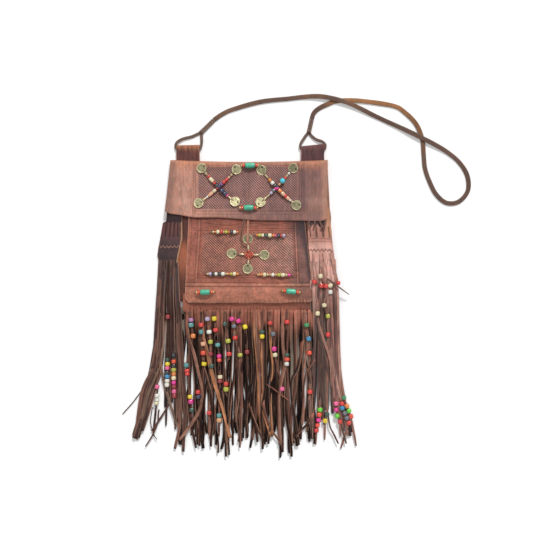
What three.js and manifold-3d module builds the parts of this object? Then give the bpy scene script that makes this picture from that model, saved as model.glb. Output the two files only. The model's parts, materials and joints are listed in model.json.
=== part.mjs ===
// Fringed leather shoulder bag, lying on its back with the flap closed.
// Millimetres, +Z up, +Y toward the strap.
// The origin is on the flat back, under the middle of the flap's hem.
import * as THREE from "three";
import { mergeVertices } from "three/addons/utils/BufferGeometryUtils.js";
import Module from "manifold-3d";

const wasm = await Module();
wasm.setup();
const { clamp, lerp, smoothstep } = THREE.MathUtils;

// Clearance between pieces that touch
const gap = 0.3;

// Leather thicknesses
const bodyLeather = 1.8;
const pouchLeather = 1.6;
const coverLeather = 1.6;
const fringeLeather = 1.4;
const tabLeather = 1.6;

// The back and the flap, one sheet folded over at the top
const foldLine = 99;
const foldSag = 3;
const hemRise = 16;
const flapWidth = 228;
const flapFlare = 7.5;
const backLip = 13;
const tuck = 16;

// The pouch, a little wider than the flap
const pouchWidth = flapWidth + 6;
const pouchCentre = 2;
const pouchBottom = -103;
const mouthSetback = 14;
const seamHeight = 6;
const fullHeight = 14;
const pouchCorner = 14;
const bottomRise = 62;
const mouthFall = 70;

// The tooled front panel
const panelTopWidth = 164;
const panelBottomWidth = 187;
const panelOverhang = 1.5;
const panelCorner = 9;

// The fringe under the pouch
const bandWidth = 191;
const bandTuck = 11;
const bandEnd = 19;
const frontStrips = 27;
const underStrips = 20;
const slit = 0.7;
const fringeLength = 194;
const tipWidth = 0.6;

// The two tassels
const leftTasselStrips = 7;
const rightTasselStrips = 7;
const slotLength = 21;
const leftTasselLength = 312;
const rightTasselLength = 322;

// Coins, beads and thongs
const coinRadius = 7.5;
const coinThickness = 1.3;
const coinRim = 1;
const coinRelief = 0.35;
const coinHole = 0.9;
const beadRadius = 3.8;
const beadPitch = 5.8;
const rowBeadRadius = 3.1;
const rowPitch = 5.4;
const seedRadius = 2.1;
const goldRadius = 1.3;
const knotRadius = 2.5;
const threadWidth = 1.2;
const thongWidth = 2.6;
const thongThickness = 1.2;
const barrelRadius = 4;
const barrelLength = 14;
const linkRadius = 1.4;

// Strap and tabs
const strapWidth = 6.5;
const strapThickness = 2;
const tabWidth = 33;
const tabReach = 124;
const tabSpread = flapWidth / 2 - 25;
const rightTabShift = 3.5;

// Colours, with roughness and metalness
const finishes = {
  body: { color: 0xa9745e, roughness: 0.55, metalness: 0 },
  pouch: { color: 0xa06046, roughness: 0.6, metalness: 0 },
  panel: { color: 0xa2664f, roughness: 0.55, metalness: 0 },
  fringe: { color: 0x5d3d33, roughness: 0.85, metalness: 0 },
  darkLeather: { color: 0x5a4340, roughness: 0.7, metalness: 0 },
  tassel: { color: 0x9a6c60, roughness: 0.65, metalness: 0 },
  strap: { color: 0x66503f, roughness: 0.75, metalness: 0 },
  coin: { color: 0x9c9766, roughness: 0.4, metalness: 1 },
  turquoise: { color: 0x4fb89c, roughness: 0.35, metalness: 0 },
  redBead: { color: 0xc0342b, roughness: 0.2, metalness: 0 },
  creamBead: { color: 0xdcc9a0, roughness: 0.25, metalness: 0 },
  tealBead: { color: 0x2b8a86, roughness: 0.2, metalness: 0 },
};

const bag = new THREE.Group();
bag.name = "fringed_bag";

// Adds one named piece
function piece(name, finish, geometry) {
  const mesh = new THREE.Mesh(geometry, new THREE.MeshStandardMaterial(finishes[finish]));
  mesh.name = name;
  bag.add(mesh);
  return mesh;
}

// A value read along rising stations, straight between them
function profile(pairs) {
  return (station) => {
    let k = 0;
    while (k < pairs.length - 2 && station > pairs[k + 1][0]) k += 1;
    const [from, a] = pairs[k];
    const [to, b] = pairs[k + 1];
    return lerp(a, b, (clamp(station, from, to) - from) / (to - from));
  };
}

// Turns a geometry into a solid for joining and cutting
function solidOf(geometry) {
  const bare = new THREE.BufferGeometry();
  bare.setAttribute("position", geometry.getAttribute("position"));
  bare.setIndex(geometry.getIndex());
  const merged = mergeVertices(bare, 1e-4);
  return new wasm.Manifold(
    new wasm.Mesh({
      numProp: 3,
      vertProperties: new Float32Array(merged.attributes.position.array),
      triVerts: new Uint32Array(merged.index.array),
    }),
  );
}

function geometryOf(solid) {
  const mesh = solid.getMesh();
  const geometry = new THREE.BufferGeometry();
  geometry.setAttribute("position", new THREE.BufferAttribute(mesh.vertProperties, 3));
  geometry.setIndex(new THREE.BufferAttribute(mesh.triVerts, 1));
  return geometry;
}

function fuse(geometries) {
  return geometryOf(geometries.map(solidOf).reduce((a, b) => a.add(b)));
}

function cut(geometry, tool) {
  return geometryOf(solidOf(geometry).subtract(solidOf(tool)));
}

// A sheet of leather: a grid of cells with a low and a high face, walled wherever a cell is left out.
// low(i, j) and high(i, j) give the corners, and has(i, j) says which cells there are.
function sheet(across, along, low, high, has = () => true) {
  const positions = [];
  const indices = [];
  const corner = (side, i, j) => (side * (across + 1) + i) * (along + 1) + j;
  for (const face of [low, high]) {
    for (let i = 0; i <= across; i += 1) {
      for (let j = 0; j <= along; j += 1) positions.push(...face(i, j));
    }
  }
  const quad = (a, b, c, d) => indices.push(a, b, c, a, c, d);
  const there = (i, j) => i >= 0 && j >= 0 && i < across && j < along && has(i, j);
  for (let i = 0; i < across; i += 1) {
    for (let j = 0; j < along; j += 1) {
      if (!there(i, j)) continue;
      quad(corner(1, i, j), corner(1, i + 1, j), corner(1, i + 1, j + 1), corner(1, i, j + 1));
      quad(corner(0, i, j), corner(0, i, j + 1), corner(0, i + 1, j + 1), corner(0, i + 1, j));
      const wall = (i0, j0, i1, j1) =>
        quad(corner(0, i0, j0), corner(0, i1, j1), corner(1, i1, j1), corner(1, i0, j0));
      if (!there(i, j - 1)) wall(i, j, i + 1, j);
      if (!there(i + 1, j)) wall(i + 1, j, i + 1, j + 1);
      if (!there(i, j + 1)) wall(i + 1, j + 1, i, j + 1);
      if (!there(i - 1, j)) wall(i, j + 1, i, j);
    }
  }
  return outward(positions, indices);
}

// A closed surface with its faces turned outward and its unused corners dropped
function outward(positions, indices) {
  const at = (k) => new THREE.Vector3().fromArray(positions, 3 * indices[k]);
  let volume = 0;
  for (let k = 0; k < indices.length; k += 3) volume += at(k).dot(at(k + 1).cross(at(k + 2)));
  if (volume < 0) indices.reverse();
  const geometry = new THREE.BufferGeometry();
  geometry.setAttribute("position", new THREE.Float32BufferAttribute(positions, 3));
  geometry.setIndex(indices);
  return mergeVertices(geometry.toNonIndexed(), 1e-4);
}

// A flat thong along stations [x, y, z], z being its underside
function thong(stations, width, thickness) {
  const corners = stations.map(([x, y, z], k) => {
    const [ax, ay] = stations[Math.max(k - 1, 0)];
    const [bx, by] = stations[Math.min(k + 1, stations.length - 1)];
    const length = Math.hypot(bx - ax, by - ay);
    const side = [(-(by - ay) / length) * (width / 2), ((bx - ax) / length) * (width / 2)];
    return { x, y, z, side };
  });
  const corner = (i, j, rise) => {
    const { x, y, z, side } = corners[j];
    const sign = 1 - 2 * i;
    return [x + sign * side[0], y + sign * side[1], z + rise];
  };
  return sheet(
    1,
    stations.length - 1,
    (i, j) => corner(i, j, 0),
    (i, j) => corner(i, j, thickness),
  );
}

// A round thread with beads turned on it. rings run along it as [x, y, z, radius], z being its middle.
const sides = 5;
function beadedThread(rings) {
  const positions = [];
  const indices = [];
  rings.forEach(([x, y, z, radius], k) => {
    const [ax, ay] = rings[Math.max(k - 1, 0)];
    const [bx, by] = rings[Math.min(k + 1, rings.length - 1)];
    const length = Math.hypot(bx - ax, by - ay);
    for (let n = 0; n < sides; n += 1) {
      const turn = (2 * Math.PI * (n + 0.5)) / sides;
      const out = (radius * Math.cos(turn)) / length;
      positions.push(x - (by - ay) * out, y + (bx - ax) * out, z + radius * Math.sin(turn));
    }
  });
  const corner = (k, n) => k * sides + (n % sides);
  for (let n = 0; n < sides; n += 1) {
    for (let k = 0; k < rings.length - 1; k += 1) {
      indices.push(corner(k, n), corner(k + 1, n), corner(k + 1, n + 1));
      indices.push(corner(k, n), corner(k + 1, n + 1), corner(k, n + 1));
    }
    if (n === 0 || n === sides - 1) continue;
    const last = rings.length - 1;
    indices.push(corner(0, 0), corner(0, n), corner(0, n + 1));
    indices.push(corner(last, 0), corner(last, n + 1), corner(last, n));
  }
  return outward(positions, indices);
}

// Rings of one bead at the distance s along a thread, left out where the next bead touches it
function beadRings(s, radius, length, thread, closeBefore, closeAfter) {
  const rings = [
    [s - 0.28 * length, radius],
    [s + 0.28 * length, radius],
  ];
  if (!closeBefore) rings.unshift([s - length / 2, thread]);
  rings.push([s + length / 2 + (closeAfter ? 0.2 : 0), thread]);
  return rings;
}

// Shape of the filled pouch: highest in the middle, thinner at the seams and at the mouth
const backTop = bodyLeather;
const pouchBase = backTop + gap;
const mouthLine = foldLine - mouthSetback;
const coverTop = hemRise + tuck;

function pouchEdge(y, side) {
  const waist = lerp(pouchWidth / 2, pouchWidth / 2 - 2, clamp((mouthLine - y) / 190, 0, 1));
  const above = clamp(y - pouchBottom, 0, pouchCorner);
  const pull = pouchCorner - Math.sqrt(pouchCorner ** 2 - (pouchCorner - above) ** 2);
  return pouchCentre + side * (waist - pull);
}

function pouchTop(x, y) {
  const sideways = 1 - Math.min(Math.abs((x - pouchCentre) / (pouchWidth / 2)), 1) ** 3;
  const up = clamp((y - pouchBottom) / bottomRise, 0, 1);
  const down = clamp((mouthLine - y) / mouthFall, 0, 1);
  const lengthways = (1 - (1 - up) ** 2) * (0.45 + 0.55 * (1 - (1 - down) ** 2));
  return pouchBase + seamHeight + (fullHeight - seamHeight) * sideways * lengthways;
}

// Height that leather lies at: on the pouch, or falling from its edge to the ground
const fall = 0.45;
const shoulder = 3;
const overPouch = (x) => clamp(x, pouchCentre - pouchWidth / 2, pouchCentre + pouchWidth / 2);
function support(x, y) {
  const py = clamp(y, pouchBottom, mouthLine);
  const px = overPouch(x);
  const drop = fall * Math.max(Math.hypot(x - px, y - py) - shoulder, 0);
  return Math.max(pouchTop(px, py) + gap - drop, 0);
}

// The flap rides over the panel and the tassel necks, and on the pouch above them
function flapLow(x, y) {
  const lift = (coverLeather + gap) * (1 - smoothstep(y, coverTop + 3, coverTop + 16));
  return support(overPouch(x), Math.min(y, mouthLine)) + lift;
}
const flapTop = (x, y) => flapLow(x, y) + bodyLeather;

// The fold is a half round whose height is the flap's over the mouth
const foldAt = (x) => foldLine + foldSag * (x / (flapWidth / 2)) ** 2;
const foldRadius = (x) => flapTop(x, mouthLine) / 2;
const foldStart = (x) => foldAt(x) - foldRadius(x);

const hemCurve = profile([
  [-122, 12],
  [-118, 8],
  [-107, 6.8],
  [-78, 1.7],
  [-43, 1.7],
  [16, -2.7],
  [76, -2.7],
  [104, -3.5],
  [110, -2.5],
  [113, 1.5],
]);
const hemAt = (x) => hemRise + hemCurve(x);

// Back and flap
function backAndFlap() {
  const across = 14;
  const backRows = 4;
  const foldRows = 6;
  const flapRows = 9;
  const half = flapWidth / 2;
  const backHalf = profile([
    [pouchBottom - backLip, bandWidth / 2],
    [pouchBottom - 1, bandWidth / 2 + 4],
    [pouchBottom + pouchCorner, pouchWidth / 2 - 2],
    [0, pouchWidth / 2],
    [foldLine, half],
  ]);
  const backStations = [pouchBottom - backLip, pouchBottom - 1, pouchBottom + pouchCorner, 0];
  const frontRows = [0, 0.12, 0.26, 0.42, 0.56, 0.66, 0.76, 0.86, 0.94, 1];
  const point = (i, j, inner) => {
    const s = (2 * i) / across - 1;
    if (j < backRows) {
      const y = backStations[j];
      return [pouchCentre * smoothstep(foldLine - y, 0, foldLine) + s * backHalf(y), y, inner ? backTop : 0];
    }
    if (j <= backRows + foldRows) {
      const x = s * half;
      const turn = -Math.PI / 2 + (Math.PI * (j - backRows)) / foldRows;
      const radius = foldRadius(x) - (inner ? bodyLeather : 0);
      return [x, foldStart(x) + radius * Math.cos(turn), foldRadius(x) + radius * Math.sin(turn)];
    }
    const t = frontRows[j - backRows - foldRows];
    const x = s * half + (s < 0 ? s * flapFlare * t : -1.5 * s * t);
    const y = lerp(foldStart(x), hemAt(x), t);
    return [x, y, inner ? flapLow(x, y) : flapTop(x, y)];
  };
  const rows = backRows + foldRows + flapRows;
  const inner = (i, j) => point(i, j, true);
  const outer = (i, j) => point(i, j, false);
  piece("back_and_flap", "body", sheet(across, rows, inner, outer));
}

// Pouch: a shallow tray of leather laced to the back, open toward the fold
function pouch() {
  const across = 12;
  const rows = 9;
  const shell = (inset) => {
    const bottom = pouchBottom + inset;
    const top = mouthLine + (inset ? 1 : 0);
    const place = (i, j) => {
      const y = lerp(bottom, top, (j / rows) ** 1.7);
      const left = pouchEdge(y - inset, -1) + inset;
      const right = pouchEdge(y - inset, 1) - inset;
      return [lerp(left, right, i / across), y];
    };
    const low = (i, j) => [...place(i, j), pouchBase - (inset ? 1 : 0)];
    const high = (i, j) => {
      const [x, y] = place(i, j);
      return [x, y, pouchTop(x, Math.min(y, mouthLine)) - inset];
    };
    return sheet(across, rows, low, high);
  };
  piece("pouch", "pouch", cut(shell(0), shell(pouchLeather)));
}

// Under fringe, sewn onto the lip of the back and lying on the ground
const bandTop = pouchBottom + bandTuck;
const lipEnd = pouchBottom - backLip;
const underRest = pouchBottom - 31;
const underLow = profile([
  [underRest, 0],
  [lipEnd - 2, backTop + gap],
]);
const bandBottom = pouchBottom - bandEnd;
function fringeLow(x, y) {
  if (y >= pouchBottom) return support(x, y);
  const overUnder = underLow(Math.min(y, bandBottom)) + fringeLeather + gap;
  return lerp(overUnder, support(x, pouchBottom), clamp((y - bandBottom) / bandEnd, 0, 1));
}
const fringeTop = (x, y) => fringeLow(x, y) + fringeLeather;

// A band of leather slit into strips that taper, sway a little and end unevenly
function comb({ strips, stations, bandRows, sway, lowAt, wander }) {
  const pitch = bandWidth / strips;
  const split = stations[bandRows];
  const tip = stations[stations.length - 1];
  const place = (i, j) => {
    const strip = Math.floor(i / 2);
    const t = clamp((split - stations[j]) / (split - tip), 0, 1);
    const centre = (strip + 0.5) * pitch - bandWidth / 2;
    const width = (pitch - slit) * lerp(1, tipWidth, t);
    const x = centre + (i % 2 ? 0.5 : -0.5) * width + sway(strip, t);
    return [x, stations[j] + t ** 3 * wander(strip)];
  };
  const low = (i, j) => {
    const [x, y] = place(i, j);
    return [x, y, lowAt(x, y)];
  };
  const high = (i, j) => {
    const [x, y, z] = low(i, j);
    return [x, y, z + fringeLeather];
  };
  const has = (i, j) => j < bandRows || i % 2 === 0;
  return sheet(2 * strips - 1, stations.length - 1, low, high, has);
}

function fringes() {
  const tip = bandBottom - fringeLength;
  const under = comb({
    strips: underStrips,
    stations: [pouchBottom - 2, lipEnd - 2, underRest, lerp(underRest, tip, 0.5), tip],
    bandRows: 1,
    sway: (k, t) => (2.6 * Math.sin(0.4 * k + 2) + 0.9 * Math.sin(1.1 * k)) * t - 1.5 * t,
    lowAt: (x, y) => underLow(y),
    wander: (k) => 8 * Math.sin(1.9 * k + 1),
  });
  piece("under_fringe", "fringe", under);
  const onGround = [0.4, 0.75, 1].map((t) => lerp(underRest, tip, t));
  const front = comb({
    strips: frontStrips,
    stations: [bandTop, pouchBottom, bandBottom, underRest, ...onGround],
    bandRows: 2,
    sway: (k, t) => (2.8 * Math.sin(0.35 * k) + 0.8 * Math.sin(0.8 * k + 4 * t)) * t,
    lowAt: fringeLow,
    wander: (k) => 9 * Math.sin(1.7 * k) + 5 * Math.sin(0.6 * k + 1),
  });
  piece("front_fringe", "fringe", front);
}

// Front panel, from under the flap down over the top of the fringe band
function panelLow(x, y) {
  const lift = (fringeLeather + gap) * (1 - smoothstep(y, bandTop + 2, bandTop + 10));
  return support(x, y) + lift;
}
const panelTop = (x, y) => panelLow(x, y) + coverLeather;
const panelFloor = pouchBottom - panelOverhang;

function panelHalf(y) {
  const t = (coverTop - y) / (coverTop - panelFloor);
  const above = clamp(y - panelFloor, 0, panelCorner);
  const pull = panelCorner - Math.sqrt(panelCorner ** 2 - (panelCorner - above) ** 2);
  return lerp(panelTopWidth, panelBottomWidth, t) / 2 - pull;
}
const panelCentre = (y) => lerp(-4, 0.6, (coverTop - y) / (coverTop - panelFloor));

function frontPanel() {
  const across = 12;
  const corner = [0, 0.25, 0.6, 1].map((t) => panelFloor + t * panelCorner);
  const stations = [...corner, bandTop + 2, bandTop + 6, bandTop + 10, -62, -40, -18, 6, coverTop];
  const place = (i, j) => {
    const y = stations[j];
    return [panelCentre(y) + panelHalf(y) * ((2 * i) / across - 1), y];
  };
  const low = (i, j) => {
    const [x, y] = place(i, j);
    return [x, y, panelLow(x, y)];
  };
  const high = (i, j) => {
    const [x, y] = place(i, j);
    return [x, y, panelTop(x, y)];
  };
  piece("front_panel", "panel", sheet(across, stations.length - 1, low, high));
}

// Tassels: a slotted neck from under the flap, a whole stretch, then strips to the ground
const tasselLow = (x, y) => support(x, y);
const tasselTop = (x, y) => tasselLow(x, y) + coverLeather;

// Where a tassel bends: down the pouch, over its bottom seam and on the ground
const draping = [pouchBottom + 43, pouchBottom + 18, pouchBottom - shoulder - 1, pouchBottom - 27];

function tassel({ name, finish, strips, side, sides: edges, stations, splitRow, slotRow, swing, strands }) {
  const beside = side * (panelTopWidth / 2);
  const [left, right] = edges.map((pairs) => profile(pairs.map(([y, x]) => [y, beside + x])));
  const tip = stations[stations.length - 1];
  const split = stations[splitRow];
  const place = (i, j) => {
    const y = stations[j];
    const strip = Math.floor(i / 2);
    const pitch = (right(y) - left(y)) / strips;
    const t = clamp((split - y) / (split - tip), 0, 1);
    const width = (pitch - slit) * lerp(1, tipWidth, t);
    const x = left(y) + (strip + 0.5) * pitch + (i % 2 ? 0.5 : -0.5) * width;
    return [x, y + t ** 3 * swing * Math.sin(2.3 * strip)];
  };
  const low = (i, j) => {
    const [x, y] = place(i, j);
    return [x, y, tasselLow(x, y)];
  };
  const high = (i, j) => {
    const [x, y, z] = low(i, j);
    return [x, y, z + coverLeather];
  };
  const slotted = (i, j) => j === slotRow && i % 4 === 1;
  const has = (i, j) => (j < splitRow ? !slotted(i, j) : i % 2 === 0);
  const cloth = sheet(2 * strips - 1, stations.length - 1, low, high, has);
  const beaded = strands.map((places) => {
    const moved = places.map(([x, y]) => [beside + x, y]);
    return strand(moved, tasselTop, -0.5 * thongWidth, draping);
  });
  piece(name, finish, fuse([cloth, ...beaded]));
}

// A narrow thong that lies on a surface and rises through the beads threaded on it.
// places run from the top down: where the thong starts, the beads' centres, and where it ends.
// bends are where the surface turns.
function strand(places, surface, sink, bends) {
  const thread = thongWidth / 2;
  const length = beadPitch - 0.4;
  const ramp = 12;
  const start = places[0][1];
  const beads = places.slice(1, -1).map(([, y]) => y);
  const end = places[places.length - 1][1];
  const centre = profile(places.map(([x, y]) => [y, x]).reverse());
  const rings = [[start, thread, sink + thread]];
  beads.forEach((y, k) => {
    const before = (k ? beads[k - 1] : start) - y;
    const after = y - (k < beads.length - 1 ? beads[k + 1] : end);
    const touches = (distance) => distance < length + 1.6;
    if (before > 2 * ramp) rings.push([y + ramp, thread, gap + thread]);
    beadRings(-y, beadRadius, length, thread, k > 0 && touches(before), touches(after)).forEach(
      ([s, radius]) => rings.push([-s, radius, gap + beadRadius]),
    );
    if (after > 2 * ramp) rings.push([y - ramp, thread, gap + thread]);
  });
  rings.push([end, thread, gap + thread]);
  const free = bends.filter((bend) => bend < start && beads.every((y) => Math.abs(y - bend) > ramp));
  free.forEach((bend) => rings.push([bend, thread, gap + thread]));
  rings.sort((a, b) => b[0] - a[0]);
  const place = ([y, radius, lift]) => [centre(y), y, surface(centre(y), y) + lift, radius];
  return beadedThread(rings.map(place));
}

function tassels() {
  tassel({
    name: "left_tassel",
    finish: "darkLeather",
    strips: leftTasselStrips,
    side: -1,
    sides: [
      [
        [-leftTasselLength, -82],
        [-200, -66],
        [-80, -48],
        [-51, -47.5],
        [-36, -51],
        [-10, -47],
        [coverTop, -38],
      ],
      [
        [-leftTasselLength, -26],
        [-150, -22],
        [-70, -25],
        [-47, -22],
        [-25, -16],
        [coverTop, -15],
      ],
    ],
    stations: [coverTop, 12, 12 - slotLength, -47, ...draping, -200, -leftTasselLength],
    splitRow: 3,
    slotRow: 1,
    swing: 9,
    strands: [
      [
        [-34, -40], [-36, -126], [-36.9, -188.5], [-36.5, -194.5], [-36.9, -207], [-36.9, -219],
        [-39, -285],
      ],
      [
        [-28, -40], [-27.5, -181.5], [-27.5, -187.5], [-27.5, -201], [-27, -213], [-26.5, -225],
        [-26, -241], [-25.5, -290],
      ],
      [
        [-42, -40], [-51.4, -227.7], [-51.4, -246.5], [-56, -290],
      ],
    ],
  });
  tassel({
    name: "right_tassel",
    finish: "tassel",
    strips: rightTasselStrips,
    side: 1,
    sides: [
      [
        [-rightTasselLength, 13],
        [-200, 15],
        [-125, 16.5],
        [-92, 16],
        [-50, 7.5],
        [-26, 4.5],
        [coverTop, 0.5],
      ],
      [
        [-rightTasselLength, 70],
        [-200, 60],
        [-92, 48],
        [-50, 43],
        [-11, 38],
        [coverTop, 34],
      ],
    ],
    stations: [coverTop, 8, 8 - slotLength, -35, ...draping, -200, -rightTasselLength],
    splitRow: 3,
    slotRow: 1,
    swing: 12,
    strands: [
      [
        [11, -30], [13.5, -66.5], [22.4, -81], [17.5, -103], [21, -261], [20, -267], [19, -273],
        [17, -291], [17, -310],
      ],
      [
        [31, -30], [35.5, -90], [35.5, -106], [32.6, -152], [31.5, -268], [30, -282],
        [29, -305],
      ],
      [
        [36, -30], [48, -76], [44.5, -252], [45, -262], [46, -271], [49, -278], [51, -300],
      ],
      [
        [26, -30], [56, -244], [60, -256], [61.5, -262], [65, -271], [76, -312],
      ],
    ],
  });
}

// Beaded thongs that hang over the front fringe, with their beads from the top down
function beadedThongs() {
  const thongs = [
    [
      [-85.6, -130.5], [-84.1, -137.8], [-81.2, -153.7], [-91, -196], [-90, -204],
      [-85.6, -242], [-82.7, -261], [-84, -296],
    ],
    [
      [-69.6, -137.8], [-69.6, -147.9], [-66.7, -165.3], [-66.7, -178.4], [-65.3, -194.3],
      [-74, -235], [-71, -300],
    ],
    [
      [-60.9, -129], [-58, -147.9], [-56, -162.4], [-56, -179.8], [-54.5, -197.2],
      [-58, -265.4], [-57, -304],
    ],
    [
      [-50.5, -132], [-48.5, -145], [-45.5, -166.8], [-43.5, -185], [-42, -213.2],
      [-42, -219.2], [-43.5, -273], [-44, -300],
    ],
    [
      [-34.8, -136.3], [-30.5, -161], [-29, -179.8], [-33.4, -223.3], [-33.4, -231],
      [-31, -292],
    ],
    [
      [-25, -134], [-20.3, -156.6], [-15, -181.3], [-19, -280],
    ],
    [
      [-13, -132], [-5.8, -142], [-2.9, -176.9], [-4, -288],
    ],
    [
      [18.9, -147.9], [18.9, -154], [22, -296],
    ],
    [
      [30.5, -134.9], [34.8, -150.8], [36.3, -172.6], [37.7, -181.3], [47.9, -230.6],
      [45, -298],
    ],
    [
      [55.1, -133.4], [55.1, -181.3], [55.1, -188], [55.1, -194.3], [60, -301],
    ],
    [
      [82, -137.8], [85, -158], [87, -178.4], [88.5, -234.9], [85, -290],
    ],
  ];
  thongs.forEach((places, k) => {
    const root = [places[0][0], bandBottom + 4];
    const line = strand([root, ...places], fringeTop, gap, [underRest]);
    piece("beaded_thong_" + (k + 1), k % 2 ? "redBead" : "tealBead", line);
  });
}

// Coins lie tangent to the leather, each with a rim, sunk field and small hole near its edge
function coinGeometry() {
  const inside = coinRadius - coinRim;
  const outline = [
    [0, 0],
    [coinRadius, 0],
    [coinRadius, coinThickness],
    [inside, coinThickness],
    [0, coinThickness - coinRelief],
  ].map(([r, y]) => new THREE.Vector2(r, y));
  const disc = new THREE.LatheGeometry(outline, 12);
  disc.rotateX(Math.PI / 2);
  const drill = new THREE.CylinderGeometry(coinHole, coinHole, 4 * coinThickness, 5);
  drill.rotateX(Math.PI / 2);
  drill.translate(inside - 2 * coinHole, 0, 0);
  return cut(disc, drill);
}

function normalAt(surface, x, y) {
  const step = 3;
  const slopeX = (surface(x + step, y) - surface(x - step, y)) / (2 * step);
  const slopeY = (surface(x, y + step) - surface(x, y - step)) / (2 * step);
  return new THREE.Vector3(-slopeX, -slopeY, 1).normalize();
}

const seatMargin = 0.25;
const coinTopAt = (surface, x, y) => surface(x, y) + gap + seatMargin + coinThickness;

const upperCoins = foldLine - 11;
const lowerCoins = hemRise + 22;
const flapCoins = [
  [-68.3, upperCoins + 1],
  [-17.8, upperCoins - 1],
  [18.1, upperCoins - 2],
  [63.9, upperCoins + 1],
  [-72.1, lowerCoins],
  [-19.9, lowerCoins + 2],
  [16.8, lowerCoins + 1],
  [68.2, lowerCoins - 3],
];
const knot = [0.4, -36.3];
const knotReach = 23;
const panelCoins = [
  [knot[0] - 2, knot[1] + knotReach],
  [knot[0] - knotReach - 2, knot[1] + 2],
  [knot[0] + knotReach - 1, knot[1]],
  [knot[0] - 2, knot[1] - knotReach + 3],
];

function coins() {
  const set = (name, surface, [x, y], turn) => {
    const mesh = piece(name, "coin", coinGeometry());
    const normal = normalAt(surface, x, y);
    mesh.quaternion.setFromUnitVectors(new THREE.Vector3(0, 0, 1), normal);
    mesh.rotateZ(turn);
    mesh.position.set(x, y, surface(x, y)).addScaledVector(normal, gap + seatMargin);
  };
  flapCoins.forEach((place, k) => set("flap_coin_" + (k + 1), flapTop, place, 2.4 * k + 1));
  panelCoins.forEach((place, k) => set("panel_coin_" + (k + 1), panelTop, place, 1.9 * k + 2));
}

// How far along the first line the second one crosses it
function crossingShare([[ax, ay], [bx, by]], [[cx, cy], [dx, dy]]) {
  const across = (bx - ax) * (dy - cy) - (by - ay) * (dx - cx);
  return ((cx - ax) * (dy - cy) - (cy - ay) * (dx - cx)) / across;
}

// A bead string tied from coin to coin. over lifts its middle across the string that it crosses,
// and a string that is crossed leaves its middle bare.
function crossString(name, finish, [from, to], other, over) {
  const length = Math.hypot(to[0] - from[0], to[1] - from[1]);
  const at = (s) => [lerp(from[0], to[0], s / length), lerp(from[1], to[1], s / length)];
  const thread = threadWidth / 2;
  const crossing = length * crossingShare([from, to], other);
  const surfaceAt = (s) => flapTop(...at(s));
  const bridge = over ? threadWidth + gap : 0;
  const lift = (s) => bridge * (1 - smoothstep(Math.abs(s - crossing), 6, 16));
  const ride = (s) => surfaceAt(s) + gap + beadRadius + lift(s);
  const tie = coinRadius - 3;
  const clear = coinRadius + 3;
  const tieAt = (s) => coinTopAt(flapTop, ...at(s)) + gap + 0.1 + thread;
  const rings = [[tie, thread, tieAt(tie)]];
  const beads = [];
  for (let s = clear + beadPitch / 2; s <= length - clear - beadPitch / 2 + 0.01; s += beadPitch) {
    if (over || Math.abs(s - crossing) > beadRadius + 4) beads.push(s);
  }
  let bare = !over;
  beads.forEach((s, k) => {
    if (bare && s > crossing) {
      const low = surfaceAt(crossing) + gap + thread;
      rings.push([crossing - 4.5, thread, low], [crossing + 4.5, thread, low]);
      bare = false;
    }
    const touching = (other) => other !== undefined && Math.abs(other - s) < beadPitch + 0.1;
    const met = [touching(beads[k - 1]), touching(beads[k + 1])];
    beadRings(s, beadRadius, beadPitch - 0.4, thread, ...met).forEach(([at, radius]) => {
      rings.push([at, radius, ride(at)]);
    });
  });
  rings.push([length - tie, thread, tieAt(length - tie)]);
  piece(name, finish, beadedThread(rings.map(([s, radius, z]) => [...at(s), z, radius])));
}

// A straight row of beads laid on the panel
function beadRow(name, finish, from, to) {
  const length = Math.hypot(to[0] - from[0], to[1] - from[1]);
  const at = (s) => [lerp(from[0], to[0], s / length), lerp(from[1], to[1], s / length)];
  const ride = (s) => panelTop(...at(s)) + gap + rowBeadRadius;
  const count = Math.floor((length - 2 * rowBeadRadius) / rowPitch);
  const first = (length - (count - 1) * rowPitch) / 2;
  const thread = threadWidth / 2;
  const rings = [[0, thread, panelTop(...at(0)) + gap + thread]];
  for (let k = 0; k < count; k += 1) {
    beadRings(first + k * rowPitch, rowBeadRadius, rowPitch - 0.4, thread, k > 0, k < count - 1).forEach(
      ([s, radius]) => rings.push([s, radius, ride(s)]),
    );
  }
  rings.push([length, thread, panelTop(...at(length)) + gap + thread]);
  piece(name, finish, beadedThread(rings.map(([s, radius, z]) => [...at(s), z, radius])));
}

// A bored turquoise barrel on a thread that ends in a red and a gold bead each side
function turquoise(name, surface, [x, y], tilt, tied) {
  const thread = threadWidth / 2;
  const bore = thread + gap;
  const half = barrelLength / 2;
  const outline = [
    [bore, -half],
    [barrelRadius * 0.72, -half],
    [barrelRadius, -half * 0.45],
    [barrelRadius, half * 0.45],
    [barrelRadius * 0.72, half],
    [bore, half],
    [bore, -half],
  ].map(([r, s]) => new THREE.Vector2(r, s));
  const axis = surface(x, y) + gap + seatMargin + barrelRadius;
  const barrel = new THREE.LatheGeometry(outline, 8);
  barrel.rotateZ(tilt - Math.PI / 2);
  const mesh = piece(name, "turquoise", barrel);
  mesh.position.set(x, y, axis);
  const at = (s) => [x + s * Math.cos(tilt), y + s * Math.sin(tilt)];
  const red = half + gap + seedRadius;
  const gold = red + seedRadius + goldRadius;
  const end = gold + (tied ? 3.8 : goldRadius + 0.6);
  const endHeight = (s) => (tied ? surface(...at(s)) + gap + thread : axis);
  const side = [
    [half + 0.2, thread],
    ...beadRings(red, seedRadius, 2 * seedRadius - 0.2, thread, true, true),
    [gold, goldRadius],
    [gold + goldRadius, thread],
  ].map(([s, radius]) => [s, radius, axis]);
  const mirrored = side.map(([s, radius, z]) => [-s, radius, z]).reverse();
  const rings = [[-end, thread, endHeight(-end)], ...mirrored, ...side, [end, thread, endHeight(end)]];
  const threaded = beadedThread(rings.map(([s, radius, z]) => [...at(s), z, radius]));
  piece(name + "_thread", "redBead", threaded);
}

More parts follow.
